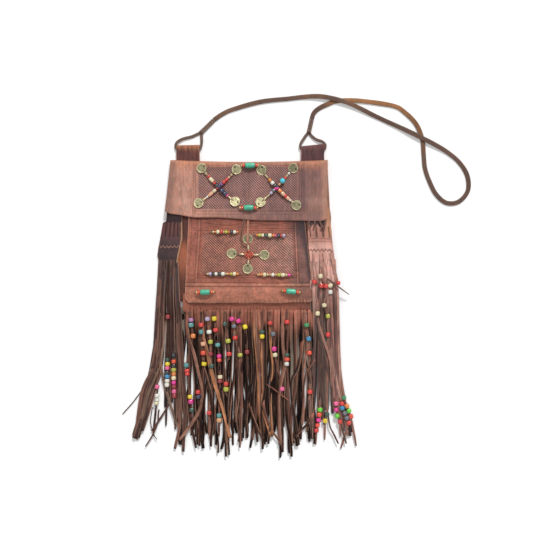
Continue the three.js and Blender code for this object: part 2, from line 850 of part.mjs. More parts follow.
// Beaded knot in the middle of the panel, with a link tube out to each coin
function centreKnot() {
  const thread = threadWidth / 2;
  const arms = panelCoins.map(([cx, cy]) => {
    const length = Math.hypot(cx - knot[0], cy - knot[1]);
    const at = (s) => [lerp(knot[0], cx, s / length), lerp(knot[1], cy, s / length)];
    const ride = (s) => panelTop(...at(s)) + gap + seedRadius;
    const end = length - coinRadius + 1.8;
    const first = knotRadius + seedRadius + 0.1;
    const linkStart = first + seedRadius;
    const linkEnd = length - coinRadius - 1;
    const seed = beadRings(first, seedRadius, 2 * seedRadius - 0.2, thread, false, true);
    const rings = [
      [1.1, thread, ride(1)],
      ...seed.map(([s, r]) => [s, r, ride(s)]),
      [linkStart + 0.3, linkRadius, ride(linkStart)],
      [linkEnd, linkRadius, ride(linkEnd)],
      [linkEnd + 0.2, thread, ride(linkEnd)],
      [end, thread, coinTopAt(panelTop, ...at(end)) + gap + 0.4 + thread],
    ];
    return beadedThread(rings.map(([s, radius, z]) => [...at(s), z, radius]));
  });
  const middle = new THREE.SphereGeometry(knotRadius, 9, 6);
  middle.translate(...knot, panelTop(...knot) + gap + knotRadius);
  piece("centre_knot", "redBead", fuse([middle, ...arms]));
}

// Thong that closes the flap: one leg round the top coin, one over it
function closingThong() {
  const [cx, cy] = panelCoins[0];
  const start = hemAt(cx) - gap - 0.4;
  const beside = coinRadius + thongWidth / 2 + 2 * gap + 0.3;
  const over = coinTopAt(panelTop, cx, cy) + gap + 0.4;
  const round = [
    [cx - 4.2, start],
    [cx - beside + 1, cy + 9],
    [cx - beside, cy],
    [cx - beside + 2.4, cy - 8],
    [cx - 4.6, cy - 11.5],
  ].map(([x, y]) => [x, y, panelTop(x, y) + gap]);
  const across = [
    [cx + 0.6, start, 0],
    [cx - 1.5, cy + 10, 0],
    [cx - 2.4, cy + 6.8, 1],
    [cx - 3, cy - 6.8, 1],
    [cx - 4.4, cy - 11, 0],
    [cx - 5, cy - 17, 0],
  ].map(([x, y, up]) => [x, y, up ? over : panelTop(x, y) + gap]);
  const knotBridge = [
    [cx - 5.2, cy - 9.6],
    [cx - 4.4, cy - 13.4],
  ].map(([x, y]) => [x, y, panelTop(x, y) + gap]);
  const solids = [round, across, knotBridge].map((line) => thong(line, thongWidth, thongThickness));
  piece("closing_thong", "darkLeather", fuse(solids));
}

// Tabs: a strip folded into a loop behind the fold, with the strap's end passed through it
const loopRadius = (2 * tabLeather + strapThickness + 2 * gap) / 2;
const loopCentre = tabReach - loopRadius;
const strapLevel = tabLeather + gap;

function tab(name, centre) {
  const across = 4;
  const turns = 6;
  const foldFace = (x, z) => {
    const radius = foldRadius(x);
    const level = clamp(z, 0, 2 * radius);
    return foldStart(x) + Math.sqrt(Math.max(radius ** 2 - (level - radius) ** 2, 0)) + gap;
  };
  const point = (i, j, inner) => {
    const x = centre + tabWidth * (i / across - 0.5);
    if (j === 0) return [x, foldFace(x, tabLeather), inner ? tabLeather : 0];
    if (j === turns + 2) {
      const top = 2 * loopRadius;
      const face = Math.max(foldFace(x, clamp(foldRadius(x), top - tabLeather, top)), foldFace(x, top));
      return [x, face, inner ? top - tabLeather : top];
    }
    const turn = -Math.PI / 2 + (Math.PI * (j - 1)) / turns;
    const radius = loopRadius - (inner ? tabLeather : 0);
    return [x, loopCentre + radius * Math.cos(turn), loopRadius + radius * Math.sin(turn)];
  };
  const inner = (i, j) => point(i, j, true);
  const outer = (i, j) => point(i, j, false);
  piece(name, "darkLeather", sheet(across, turns + 2, inner, outer));
}

// End of the strap: a loop through its tab, closed by a doubled and stitched tail
function strapEnd(name, centre, joint, tailEnd) {
  const through = loopCentre - strapWidth / 2;
  const right = centre + tabWidth / 2;
  const left = centre - tabWidth / 2;
  const level = (y) => strapLevel * (1 - smoothstep(y, tabReach + 1, joint[1] - 4));
  const withLevel = (points) => points.map(([x, y]) => [x, y, level(y)]);
  const rightLeg = withLevel([
    joint,
    [lerp(right + 4.5, joint[0], 0.4), lerp(joint[1], tabReach, 0.6)],
    [right + 5, tabReach + 1.5],
    [right + 4.6, through + 4],
    [right + 1, through],
    [centre, through],
  ]);
  const leftLeg = withLevel([
    joint,
    [lerp(joint[0], left, 0.5), lerp(joint[1], tabReach + 8, 0.55)],
    [left + 3, tabReach + 7],
    [left - 4, tabReach + 2],
    [left - 4.6, through + 3],
    [left - 1, through],
    [centre + 0.5, through],
  ]);
  const tail = [
    [lerp(joint[0], tailEnd[0], -0.08), lerp(joint[1], tailEnd[1], -0.08), 0],
    [lerp(joint[0], tailEnd[0], 0.5), lerp(joint[1], tailEnd[1], 0.5), 0],
    [...tailEnd, 0],
  ];
  const legs = [rightLeg, leftLeg].map((line) => thong(line, strapWidth - 0.5, strapThickness));
  piece(name, "strap", fuse([...legs, thong(tail, strapWidth, 2 * strapThickness)]));
}

// Shoulder strap: a flat thong laid on the ground, crossing over itself twice
const strapRoute = [
  [-51.3, 160.9, 1],
  [-39, 169.4, 1],
  [-23, 176.5, 1],
  [17, 187.5, 1],
  [58, 192, 1],
  [75, 194, 1.2],
  [92, 195.2, 2.4],
  [106, 194.6, 3.3],
  [119, 192.4, 3.6],
  [132, 189.2, 3.6],
  [146, 184.6, 3.5],
  [162, 177.4, 2.4],
  [180, 168.4, 1.4],
  [200, 159, 1.2],
  [218, 150.8, 1.8],
  [236, 142, 3],
  [252, 134, 3.6],
  [268, 126, 3],
  [288, 114.5, 1.4],
  [306, 99.5, 1],
  [318, 80, 1],
  [319, 58, 1],
  [306, 42, 1],
  [288, 40, 1],
  [273, 52, 1],
  [263, 71, 1],
  [256.5, 90, 1],
  [254.5, 110, 1],
  [252.5, 132, 1],
  [244, 154, 1],
  [227.5, 171.5, 1],
  [210, 181.6, 1],
  [165, 188.4, 1],
  [142, 189.4, 1],
  [124, 187.6, 1],
  [113, 183.2, 1],
  [104.5, 179.4, 1],
  [97.6, 174.6, 1],
  [93.6, 169.6, 1],
  [91.55, 163.1, 1],
];

function shoulderStrap() {
  const route = new THREE.CatmullRomCurve3(strapRoute.map((p) => new THREE.Vector3(...p)));
  const half = strapWidth / 2;
  const thick = strapThickness / 2;
  const section = new THREE.Shape(
    [
      [thick, half * 0.6],
      [thick * 0.5, half],
      [-thick * 0.5, half],
      [-thick, half * 0.6],
      [-thick, -half * 0.6],
      [-thick * 0.5, -half],
      [thick * 0.5, -half],
      [thick, -half * 0.6],
    ].map(([x, y]) => new THREE.Vector2(x, y)),
  );
  const tube = new THREE.ExtrudeGeometry(section, { steps: 54, bevelEnabled: false, extrudePath: route });
  piece("shoulder_strap", "strap", tube);
}

backAndFlap();
pouch();
frontPanel();
fringes();
tassels();
beadedThongs();
coins();
const leftTies = [
  [flapCoins[0], flapCoins[5]],
  [flapCoins[1], flapCoins[4]],
];
const rightTies = [
  [flapCoins[2], flapCoins[7]],
  [flapCoins[3], flapCoins[6]],
];
crossString("left_string_under", "redBead", leftTies[0], leftTies[1], false);
crossString("left_string_over", "creamBead", leftTies[1], leftTies[0], true);
crossString("right_string_under", "creamBead", rightTies[0], rightTies[1], false);
crossString("right_string_over", "redBead", rightTies[1], rightTies[0], true);
beadRow("upper_left_row", "redBead", [-54, -3.2], [-13.5, -3.6]);
beadRow("upper_right_row", "creamBead", [9, -8], [54, -8.8]);
beadRow("lower_left_row", "creamBead", [-62, -63.7], [-13, -63.7]);
beadRow("lower_right_row", "redBead", [10.5, -64.5], [62, -65.4]);
turquoise("top_turquoise", flapTop, [0.3, foldLine - 8], 0, false);
turquoise("hem_turquoise", flapTop, [-1.3, lowerCoins - 7.8], 0, true);
turquoise("left_turquoise", panelTop, [-63, pouchBottom + 13], 0.03, true);
turquoise("right_turquoise", panelTop, [60.9, pouchBottom + 14], -0.1, true);
centreKnot();
closingThong();
tab("left_tab", -tabSpread);
tab("right_tab", tabSpread + rightTabShift);
strapEnd("left_strap_end", -tabSpread, [-70, 142.4], [-51.7, 160.5]);
strapEnd("right_strap_end", tabSpread + rightTabShift, [87, 142.4], [91.4, 162.5]);
shoulderStrap();

export default bag;
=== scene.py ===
import json
import bpy
import numpy as np
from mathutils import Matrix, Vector

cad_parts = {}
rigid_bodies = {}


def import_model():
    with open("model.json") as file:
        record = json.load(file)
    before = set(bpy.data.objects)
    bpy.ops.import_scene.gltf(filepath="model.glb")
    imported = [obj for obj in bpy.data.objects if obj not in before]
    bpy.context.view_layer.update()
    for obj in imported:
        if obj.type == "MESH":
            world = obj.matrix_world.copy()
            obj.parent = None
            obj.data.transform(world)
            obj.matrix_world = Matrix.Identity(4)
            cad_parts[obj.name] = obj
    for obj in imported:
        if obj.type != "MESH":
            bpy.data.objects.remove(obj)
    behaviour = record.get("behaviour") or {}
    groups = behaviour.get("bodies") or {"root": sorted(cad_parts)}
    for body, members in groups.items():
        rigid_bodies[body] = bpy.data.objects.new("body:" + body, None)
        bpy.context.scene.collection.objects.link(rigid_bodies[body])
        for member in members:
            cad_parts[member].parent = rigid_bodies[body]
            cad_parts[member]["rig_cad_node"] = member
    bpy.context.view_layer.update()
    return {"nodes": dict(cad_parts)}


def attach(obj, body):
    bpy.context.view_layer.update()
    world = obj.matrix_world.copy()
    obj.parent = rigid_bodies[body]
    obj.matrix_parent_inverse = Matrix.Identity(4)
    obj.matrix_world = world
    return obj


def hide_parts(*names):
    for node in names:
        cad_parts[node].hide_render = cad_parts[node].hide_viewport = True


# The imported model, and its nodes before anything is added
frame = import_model()
MM = 0.001

# Camera, straight above as in the photograph, over the middle of its picture
PHOTO_CENTRE = (0.0377, -0.06525)
CAMERA_HEIGHT = 1.3
camera_data = bpy.data.cameras.new("camera")
camera_data.sensor_width = 36
camera_data.lens = 58.3
camera = bpy.data.objects.new("camera", camera_data)
camera.location = (*PHOTO_CENTRE, CAMERA_HEIGHT)
bpy.context.scene.collection.objects.link(camera)
bpy.context.scene.camera = camera


# Numbers and noise
LATTICE = 97
LATTICE_START = (41.3, 37.7)


def clamp(value, low=0.0, high=1.0):
    return np.clip(value, low, high)


def ease(value, start, end):
    t = np.clip((value - start) / (end - start), 0, 1)
    return t * t * (3 - 2 * t)


def lerp(a, b, t):
    return a + (b - a) * t


def tint(colour, tone, share):
    """The colour mixed with a tone, by a share for each point"""
    return lerp(colour, tone, share[..., None])


def lit(colour, *changes):
    """The colour made lighter by these shares, or darker where they are below 0"""
    return colour * sum(changes, 1)[..., None]


def xyz(x, y, z):
    """Points from coordinates, which may be numbers, rows, columns or grids"""
    return np.stack(np.broadcast_arrays(x, y, z), -1)


def near(value, middle, width):
    """1 at the middle, fading to 0 a few widths away"""
    return np.exp(-(((value - middle) / width) ** 2))


def noise(x, y, size, seed):
    """Smooth noise from -1 to 1, its features as large as size, in mm"""
    lattice = np.random.default_rng(seed).uniform(-1, 1, (LATTICE, LATTICE))
    u = np.asarray(x, float) / size + LATTICE_START[0]
    v = np.asarray(y, float) / size + LATTICE_START[1]
    i = np.floor(u).astype(int)
    j = np.floor(v).astype(int)
    fu = (u - i) ** 2 * (3 - 2 * (u - i))
    fv = (v - j) ** 2 * (3 - 2 * (v - j))
    at = lambda a, b: lattice[(i + a) % LATTICE, (j + b) % LATTICE]
    low = at(0, 0) * (1 - fu) + at(1, 0) * fu
    high = at(0, 1) * (1 - fu) + at(1, 1) * fu
    return low * (1 - fv) + high * fv


def ripple(along, size, seed):
    """The same noise along one direction only"""
    return noise(along, 0 * along, size, seed)


def paint(r, g, b):
    """A colour as the photograph's 0 to 255, made linear"""
    c = np.array([r, g, b]) / 255
    return np.where(c <= 0.04045, c / 12.92, ((c + 0.055) / 1.055) ** 2.4)


def curve_through(points, per=8):
    """A smooth curve through the points"""
    p = np.asarray(points, float)
    p = np.vstack([2 * p[0] - p[1], p, 2 * p[-1] - p[-2]])
    t = np.linspace(0, 1, per, endpoint=False)[:, None]
    parts = []
    for k in range(1, len(p) - 2):
        a, b, c, d = p[k - 1 : k + 3]
        second, third = 2 * a - 5 * b + 4 * c - d, 3 * b - a - 3 * c + d
        parts.append(0.5 * (2 * b + (c - a) * t + second * t**2 + third * t**3))
    return np.vstack(parts + [p[-2][None]])


# Materials: each reads the colour painted on its mesh, and adds grain, patches and wear from nodes
class Tree:
    def __init__(self, name):
        self.material = bpy.data.materials.new(name)
        self.material.use_nodes = True
        self.nodes = self.material.node_tree.nodes
        self.links = self.material.node_tree.links
        self.shader = self.nodes["Principled BSDF"]
        self.place = self.nodes.new("ShaderNodeTexCoord").outputs["Object"]
        colour = self.nodes.new("ShaderNodeAttribute")
        colour.attribute_name = "paint"
        self.painted = colour.outputs["Color"]

    def set(self, **values):
        for name, value in values.items():
            self.shader.inputs[name.replace("_", " ")].default_value = value

    def put(self, value, socket):
        if isinstance(value, (int, float, tuple)):
            socket.default_value = value
        else:
            self.links.new(value, socket)

    def noise(self, scale, detail=3.0, rough=0.6, stretch=None):
        node = self.nodes.new("ShaderNodeTexNoise")
        node.inputs["Scale"].default_value = scale
        node.inputs["Detail"].default_value = detail
        node.inputs["Roughness"].default_value = rough
        place = self.place
        if stretch:
            mapping = self.nodes.new("ShaderNodeMapping")
            mapping.inputs["Scale"].default_value = stretch
            self.links.new(place, mapping.inputs["Vector"])
            place = mapping.outputs["Vector"]
        self.links.new(place, node.inputs["Vector"])
        return node.outputs["Fac"]

    def cells(self, scale):
        node = self.nodes.new("ShaderNodeTexVoronoi")
        node.feature = "DISTANCE_TO_EDGE"
        node.inputs["Scale"].default_value = scale
        self.links.new(self.place, node.inputs["Vector"])
        return node.outputs["Distance"]

    def math(self, how, a, b=0.0):
        node = self.nodes.new("ShaderNodeMath")
        node.operation = how
        for value, socket in zip((a, b), node.inputs):
            self.put(value, socket)
        return node.outputs[0]

    def span(self, value, low, high, to_low, to_high):
        node = self.nodes.new("ShaderNodeMapRange")
        for k, each in enumerate((value, low, high, to_low, to_high)):
            self.put(each, node.inputs[k])
        return node.outputs[0]

    def scaled(self, colour, amount):
        node = self.nodes.new("ShaderNodeVectorMath")
        node.operation = "SCALE"
        self.put(colour, node.inputs[0])
        self.put(amount, node.inputs["Scale"])
        return node.outputs[0]

    def mix(self, share, a, b, how="MIX"):
        node = self.nodes.new("ShaderNodeMix")
        node.data_type = "RGBA"
        node.blend_type = how
        for value, socket in ((share, 0), (a, 6), (b, 7)):
            self.put(value, node.inputs[socket])
        return node.outputs[2]

    def finish(self, colour, rough, height, depth):
        self.put(colour, self.shader.inputs["Base Color"])
        self.put(rough, self.shader.inputs["Roughness"])
        bump = self.nodes.new("ShaderNodeBump")
        bump.inputs["Strength"].default_value = 1
        bump.inputs["Distance"].default_value = depth
        self.put(height, bump.inputs["Height"])
        self.links.new(bump.outputs["Normal"], self.shader.inputs["Normal"])
        return self.material


def leather(name, rough, patches, grain, depth, nap=0.0, gloss=0.4):
    """Leather: patches, streaks, a pebbled grain, and with nap the fibres of its split side"""
    tree = Tree(name)
    large = tree.noise(22, 4)
    small = tree.noise(150, 6, 0.7)
    streak = tree.noise(520, 4, 0.75, (1, 0.14, 1))
    fibre = tree.noise(1400, 3, 0.7, (1, 0.12, 1))
    shade = 1.0
    reaches = (large, patches), (small, patches * 0.7), (streak, patches * 1.3), (fibre, 0.06 + nap)
    for texture, reach in reaches:
        shade = tree.math("ADD", tree.span(texture, 0.3, 0.7, -reach, reach), shade)
    colour = tree.scaled(tree.painted, shade)
    warm = tree.mix(1.0, colour, (1.08, 0.95, 0.9, 1), "MULTIPLY")
    colour = tree.mix(tree.span(small, 0.42, 0.62, 0.0, 1.0), colour, warm)
    pebbles = tree.span(tree.cells(grain), 0.0, 0.12, 0.0, 1.0)
    height = tree.math("MULTIPLY", pebbles, 0.5)
    for texture, amount in ((fibre, 0.5 + nap * 3), (small, 0.8)):
        height = tree.math("ADD", height, tree.math("MULTIPLY", texture, amount))
    tree.set(Specular_IOR_Level=gloss)
    if nap:
        tree.set(Sheen_Weight=0.02, Sheen_Roughness=0.5)
    return tree.finish(colour, tree.span(small, 0.3, 0.7, rough - 0.09, rough + 0.1), height, depth)


def bead_glaze():
    tree = Tree("painted_bead")
    wear = tree.noise(600, 4, 0.7)
    colour = tree.scaled(tree.painted, tree.span(wear, 0.35, 0.65, 0.86, 1.1))
    tree.set(Coat_Weight=0.6, Coat_Roughness=0.09)
    return tree.finish(colour, tree.span(wear, 0.3, 0.7, 0.24, 0.42), wear, 0.00008)


def old_brass():
    tree = Tree("old_brass")
    patina = tree.noise(420, 6, 0.7)
    fine = tree.noise(1500, 3)
    green = tree.mix(1.0, tree.painted, (0.7, 0.76, 0.62, 1), "MULTIPLY")
    colour = tree.mix(tree.span(patina, 0.46, 0.62, 0.0, 0.8), tree.painted, green)
    tree.put(tree.span(patina, 0.45, 0.65, 0.8, 0.3), tree.shader.inputs["Metallic"])
    return tree.finish(colour, tree.span(patina, 0.3, 0.7, 0.34, 0.6), fine, 0.0001)


def turquoise_stone():
    tree = Tree("turquoise_stone")
    web = tree.noise(260, 8, 0.75)
    cloud = tree.noise(120, 4)
    colour = tree.scaled(tree.painted, tree.span(cloud, 0.3, 0.7, 0.78, 1.2))
    vein = tree.span(tree.math("ABSOLUTE", tree.math("SUBTRACT", web, 0.5)), 0.0, 0.022, 0.75, 0.0)
    colour = tree.mix(vein, colour, (0.025, 0.06, 0.04, 1))
    tree.set(Coat_Weight=0.2, Coat_Roughness=0.2)
    return tree.finish(colour, tree.span(web, 0.3, 0.7, 0.26, 0.44), web, 0.0001)


FINISH = {
    "body": leather("tooled_body_leather", 0.5, 0.12, 900, 0.00035),
    "pouch": leather("pouch_leather", 0.56, 0.15, 820, 0.00035, 0, 0.25),
    "suede": leather("fringe_suede", 0.74, 0.14, 1300, 0.0003, 0.12, 0.06),
    "dark": leather("dark_leather", 0.58, 0.15, 1000, 0.0003, 0, 0.22),
    "lace": leather("lace_leather", 0.6, 0.12, 1500, 0.0002, 0.05, 0.25),
    "bead": bead_glaze(),
    "brass": old_brass(),
    "turquoise": turquoise_stone(),
}


# Meshes are gathered part by part, in mm, and made in metres
class Shape:
    def __init__(self):
        self.points = []
        self.colours = []
        self.faces = []
        self.count = 0

    def add(self, points, colour):
        points = np.asarray(points, float)
        flat = points.reshape(-1, 3)
        first = self.count
        self.points.append(flat)
        self.colours.append(np.broadcast_to(colour, points.shape).reshape(-1, 3))
        self.count += len(flat)
        return first

    def grid(self, points, colour, flip=False, closed=False):
        """Quads between neighbouring points; closed joins the last column to the first"""
        rows, columns = points.shape[:2]
        first = self.add(points, colour)
        i = np.arange(rows - 1)[:, None] * columns
        j = np.arange(columns if closed else columns - 1)[None, :]
        k = (j + 1) % columns
        quads = np.stack([i + j, i + k, i + columns + k, i + columns + j], -1).reshape(-1, 4) + first
        if flip:
            quads = quads[:, ::-1]
        self.faces.extend(quads.tolist())
        return first

    def tube(self, rings, colour):
        """Closed rings of points joined into a tube with two flat ends"""
        a, b = rings[:-1], rings[1:]
        ahead = np.roll(a, -1, axis=1)
        middle = rings.reshape(-1, 3).mean(0)
        volume = (np.cross(a - middle, ahead - middle) * (b - middle)).sum()
        first = self.grid(rings, colour, flip=volume < 0, closed=True)
        rows, columns = rings.shape[:2]
        start = list(range(first, first + columns))
        end = list(range(first + (rows - 1) * columns, first + rows * columns))
        self.faces.append(start if volume < 0 else start[::-1])
        self.faces.append(end[::-1] if volume < 0 else end)

    def slab(self, top, under, colour, rim, back, step=4):
        """A sheet of leather: a fine face, a coarser one under it, and a rounded cut edge"""
        self.grid(top, colour)
        self.grid(under[::step, ::step], back, flip=True)
        rows, columns = top.shape[:2]
        loop = [(0, j) for j in range(columns)]
        loop += [(i, columns - 1) for i in range(1, rows)]
        loop += [(rows - 1, j) for j in range(columns - 2, -1, -1)]
        loop += [(i, 0) for i in range(rows - 2, 0, -1)]
        i, j = np.array(loop).T
        high, low = top[i, j], under[i, j]
        inward = top[np.clip(i, 1, rows - 2), np.clip(j, 1, columns - 2)]
        out = high - inward
        out /= np.maximum(np.linalg.norm(out, axis=1, keepdims=True), 1e-9)
        bulge = 0.16 * np.linalg.norm(high - low, axis=1, keepdims=True)
        rings = [high, lerp(high, low, 0.2) + out * bulge, lerp(high, low, 0.8) + out * bulge, low]
        self.grid(np.array(rings), rim, closed=True, flip=True)

    def build(self, name, finish, replaces=(), slot=None):
        """The finished piece, which rides on the one body and may stand for solids of the frame"""
        mesh = bpy.data.meshes.new(name)
        points = np.vstack(self.points) * MM
        mesh.from_pydata(points.tolist(), [], self.faces)
        mesh.polygons.foreach_set("use_smooth", [True] * len(mesh.polygons))
        layer = mesh.color_attributes.new("paint", "FLOAT_COLOR", "POINT")
        colours = np.ones((len(points), 4))
        colours[:, :3] = clamp(np.vstack(self.colours), 0.002, 0.95)
        layer.data.foreach_set("color", colours.ravel())
        mesh.materials.append(FINISH[finish])
        mesh.update()
        piece = bpy.data.objects.new(name, mesh)
        bpy.context.scene.collection.objects.link(piece)
        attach(piece, "root")
        if replaces:
            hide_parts(*replaces)
        return piece


# Section of a thong as shares of width and thickness, and how much each point lies on its edges: a pale edge
# is its cut edge with a painted highlight, a dark one is painted shade
BAND = np.array([
    [-0.5, 0.3], [-0.44, 0], [0.44, 0], [0.5, 0.3], [0.5, 0.72], [0.46, 0.95],
    [0.34, 1], [0, 1.03], [-0.34, 1], [-0.46, 0.95], [-0.5, 0.72],
])
CUT_EDGE = np.array([0.8, 0, 0, 0.8, 1, 0.95, 0.3, 0, 0.3, 0.95, 1])[None, :, None]
PALE_EDGE_AND_HIGHLIGHT = paint(188, 148, 126)


def directions(line):
    """Directions along, across and up at each point of a line"""
    along = np.gradient(line, axis=0)
    along /= np.maximum(np.linalg.norm(along, axis=1, keepdims=True), 1e-9)
    across = np.cross(along, (0, 0, 1.0))
    across /= np.maximum(np.linalg.norm(across, axis=1, keepdims=True), 1e-9)
    return along, across, np.cross(across, along)


def ribbon(shape, line, width, thickness, colour, roll=0.0, rim=0.25, cross_shade=0.0):
    """A flat thong along a line, which is the middle of its underside"""
    line = np.asarray(line, float)
    count = len(line)
    _, across, up = directions(line)
    width = np.broadcast_to(width, count)[:, None, None]
    roll = np.broadcast_to(roll, count)[:, None]
    aside = across * np.cos(roll) + up * np.sin(roll)
    above = up * np.cos(roll) - across * np.sin(roll)
    rings = line[:, None] + aside[:, None] * BAND[None, :, :1] * width
    rings = rings + above[:, None] * BAND[None, :, 1:] * thickness
    # Painted light: one edge is painted pale, its cut edge with a painted highlight, and the other darker,
    # painted shade
    pale = np.where(BAND[:, 0] < 0, *np.broadcast_to(rim, 2))[None, :, None]
    colour = np.broadcast_to(colour, (count, 3))[:, None] * (1 - 0.45 * CUT_EDGE * (1 - pale))
    # Painted light: one side of the face is painted lighter and the other darker, as light falls across it
    colour = colour * (1 + cross_shade * 2 * BAND[:, 0])[None, :, None]
    shape.tube(rings, lerp(colour, PALE_EDGE_AND_HIGHLIGHT, CUT_EDGE * pale))


def cord_round(shape, line, radius, colour, sides=6):
    """A round thread along a line through its middle"""
    line = np.asarray(line, float)
    _, across, up = directions(line)
    turn = np.linspace(0, 2 * np.pi, sides, endpoint=False)
    radius = np.broadcast_to(radius, len(line))[:, None, None]
    rings = across[:, None] * np.cos(turn)[None, :, None] + up[:, None] * np.sin(turn)[None, :, None]
    shape.tube(line[:, None] + rings * radius, colour)


BARREL = [
    (-0.5, 0.3), (-0.5, 0.62), (-0.45, 0.8), (-0.34, 0.94), (-0.12, 1),
    (0.12, 1), (0.34, 0.94), (0.45, 0.8), (0.5, 0.62), (0.5, 0.3),
]
BALL = [(s, max(np.sqrt(1 - 4 * s * s), 0.3)) for s in np.linspace(-0.5, 0.5, 13)]
LUG = [(-0.5, 0.6), (-0.5, 1.5), (-0.42, 1.6), (-0.1, 1.15), (0.4, 0.8), (0.5, 0.6), (0.5, 0.3)]


def bead(shape, centre, along, radius, length, colour, profile=BARREL, sides=14):
    """A bored bead with its axis along the thread"""
    along = np.asarray(along, float) / np.linalg.norm(along)
    across = np.cross(along, (0, 0, 1.0))
    across /= np.linalg.norm(across)
    up = np.cross(across, along)
    turn = np.linspace(0, 2 * np.pi, sides, endpoint=False)[None, :, None]
    ring = across * np.cos(turn) + up * np.sin(turn)
    s = np.array([p[0] for p in profile])[:, None, None]
    r = np.array([p[1] for p in profile])[:, None, None]
    rings = np.asarray(centre, float) + along * s * length + ring * r * radius
    shade = np.where(np.abs(s) > 0.47, 0.55, 1.0)
    shape.tube(rings, np.asarray(colour) * shade * np.ones((1, sides, 1)))


# Heights of the filled pouch and of what lies over it, the same as in the part's source
GAP = 0.3
LEATHER, POUCH_LEATHER, COVER, FRINGE = 1.8, 1.6, 1.6, 1.4
POUCH_CENTRE, POUCH_HALF, POUCH_BOTTOM, MOUTH = 2.0, 117.0, -103.0, 85.0
POUCH_LEFT, POUCH_RIGHT = POUCH_CENTRE - POUCH_HALF, POUCH_CENTRE + POUCH_HALF
POUCH_FLOOR = LEATHER + GAP
POUCH_CORNER = 14.0
SEAM_HEIGHT, FULL_HEIGHT = 6.0, 14.0
BOTTOM_RISE, MOUTH_FALL = 62.0, 70.0
FLAP_HALF, FOLD_LINE, FOLD_SAG, HEM_RISE = 114.0, 99.0, 3.0, 16.0
BAND_LOW = POUCH_BOTTOM - 19


def pouch_top(x, y):
    sideways = 1 - np.minimum(np.abs((x - POUCH_CENTRE) / POUCH_HALF), 1) ** 3
    up = clamp((y - POUCH_BOTTOM) / BOTTOM_RISE)
    down = clamp((MOUTH - y) / MOUTH_FALL)
    lengthways = (1 - (1 - up) ** 2) * (0.45 + 0.55 * (1 - (1 - down) ** 2))
    return POUCH_FLOOR + SEAM_HEIGHT + (FULL_HEIGHT - SEAM_HEIGHT) * sideways * lengthways


def support(x, y):
    """What leather lies on: the pouch, and a slope from its edge down to the ground"""
    px = np.clip(x, POUCH_LEFT, POUCH_RIGHT)
    py = np.clip(y, POUCH_BOTTOM, MOUTH)
    drop = 0.45 * np.maximum(np.hypot(x - px, y - py) - 3, 0)
    return np.maximum(pouch_top(px, py) + GAP - drop, 0)


def ground(x, y):
    """Where the strips of the tassels lie"""
    return support(x, y) + 0.1


def flap_low(x, y):
    lift = (COVER + GAP) * (1 - ease(y, 35, 48))
    return support(np.clip(x, POUCH_LEFT, POUCH_RIGHT), np.minimum(y, MOUTH)) + lift


def flap_top(x, y):
    return flap_low(x, y) + LEATHER


def fold_radius(x):
    return flap_top(x, MOUTH) / 2


def fold_start(x):
    return FOLD_LINE + FOLD_SAG * (x / FLAP_HALF) ** 2 - fold_radius(x)


HEM = np.array([
    [-122, 12], [-118, 8], [-107, 6.8], [-78, 1.7], [-43, 1.7],
    [16, -2.7], [76, -2.7], [104, -3.5], [110, -2.5], [113, 1.5],
])


def hem_at(x):
    smooth = sum(np.interp(x + d, HEM[:, 0], HEM[:, 1]) for d in (-5, -2.5, 0, 2.5, 5)) / 5
    return HEM_RISE + smooth


def panel_low(x, y):
    return support(x, y) + (FRINGE + GAP) * (1 - ease(y, -90, -82))


def panel_top(x, y):
    return panel_low(x, y) + COVER


def under_low(y):
    return np.interp(y, [-134, -118], [0, POUCH_FLOOR])


def fringe_low(x, y):
    over = under_low(np.minimum(y, BAND_LOW)) + FRINGE + GAP
    lower = lerp(over, support(x, POUCH_BOTTOM), clamp((y - BAND_LOW) / (POUCH_BOTTOM - BAND_LOW)))
    return np.where(y >= POUCH_BOTTOM, support(x, y), lower)


def fringe_top(x, y):
    return fringe_low(x, y) + FRINGE


def tassel_top(x, y):
    return support(x, y) + COVER


# Shoulder strap, lying loose: the route's points are the ones in the part's source
STRAP_ROUTE = [
    [-51.3, 160.9, 1], [-39, 169.4, 1], [-23, 176.5, 1], [17, 187.5, 1],
    [58, 192, 1], [75, 194, 1.2], [92, 195.2, 2.4], [106, 194.6, 3.3], [119, 192.4, 3.6],
    [132, 189.2, 3.6], [146, 184.6, 3.5], [162, 177.4, 2.4], [180, 168.4, 1.4], [200, 159, 1.2],
    [218, 150.8, 1.8], [236, 142, 3], [252, 134, 3.6], [268, 126, 3], [288, 114.5, 1.4], [306, 99.5, 1],
    [318, 80, 1], [319, 58, 1], [306, 42, 1], [288, 40, 1], [273, 52, 1], [263, 71, 1], [256.5, 90, 1],
    [254.5, 110, 1], [252.5, 132, 1], [244, 154, 1], [227.5, 171.5, 1], [210, 181.6, 1],
    [165, 188.4, 1], [142, 189.4, 1], [124, 187.6, 1], [113, 183.2, 1], [104.5, 179.4, 1], [97.6, 174.6, 1],
    [93.6, 169.6, 1], [91.55, 163.1, 1],
]
STRAP_WIDTH, STRAP_THICK = 6.5, 2.0
STRAP_DARK = paint(98, 78, 68)
STRAP_TAN = paint(158, 112, 74)
strap_line = curve_through(STRAP_ROUTE)
strap_under = strap_line - (0, 0, 1.0)
position = np.linspace(0, len(STRAP_ROUTE) - 1, len(strap_line))
tan = ease(position, 26, 31) * (1 - ease(position, 33, 36.5))
tan = np.maximum(tan, 0.25 * (0.5 + 0.5 * np.sin(position * 1.3)) * (position < 11))
strap_x, strap_y, _ = strap_line.T
strap_paint = lit(tint(STRAP_DARK, STRAP_TAN, tan), 0.12 * noise(strap_x, strap_y, 9, 3))
strap = Shape()
strap_width = STRAP_WIDTH + 0.35 * noise(strap_x, strap_y, 22, 4)
ribbon(strap, strap_under, strap_width, STRAP_THICK, strap_paint, 0.06 * np.sin(position * 0.9))
shoulder_strap = strap.build("strap_thong", "dark", ["shoulder_strap"], "strap_leather")


# Ends of the strap: a loop through its tab, closed by a doubled and stitched tail
TAB_WIDTH, TAB_REACH, TAB_LEATHER, LOOP_RADIUS = 33.0, 124.0, 1.6, 2.9
STITCH_PAIRS = 5


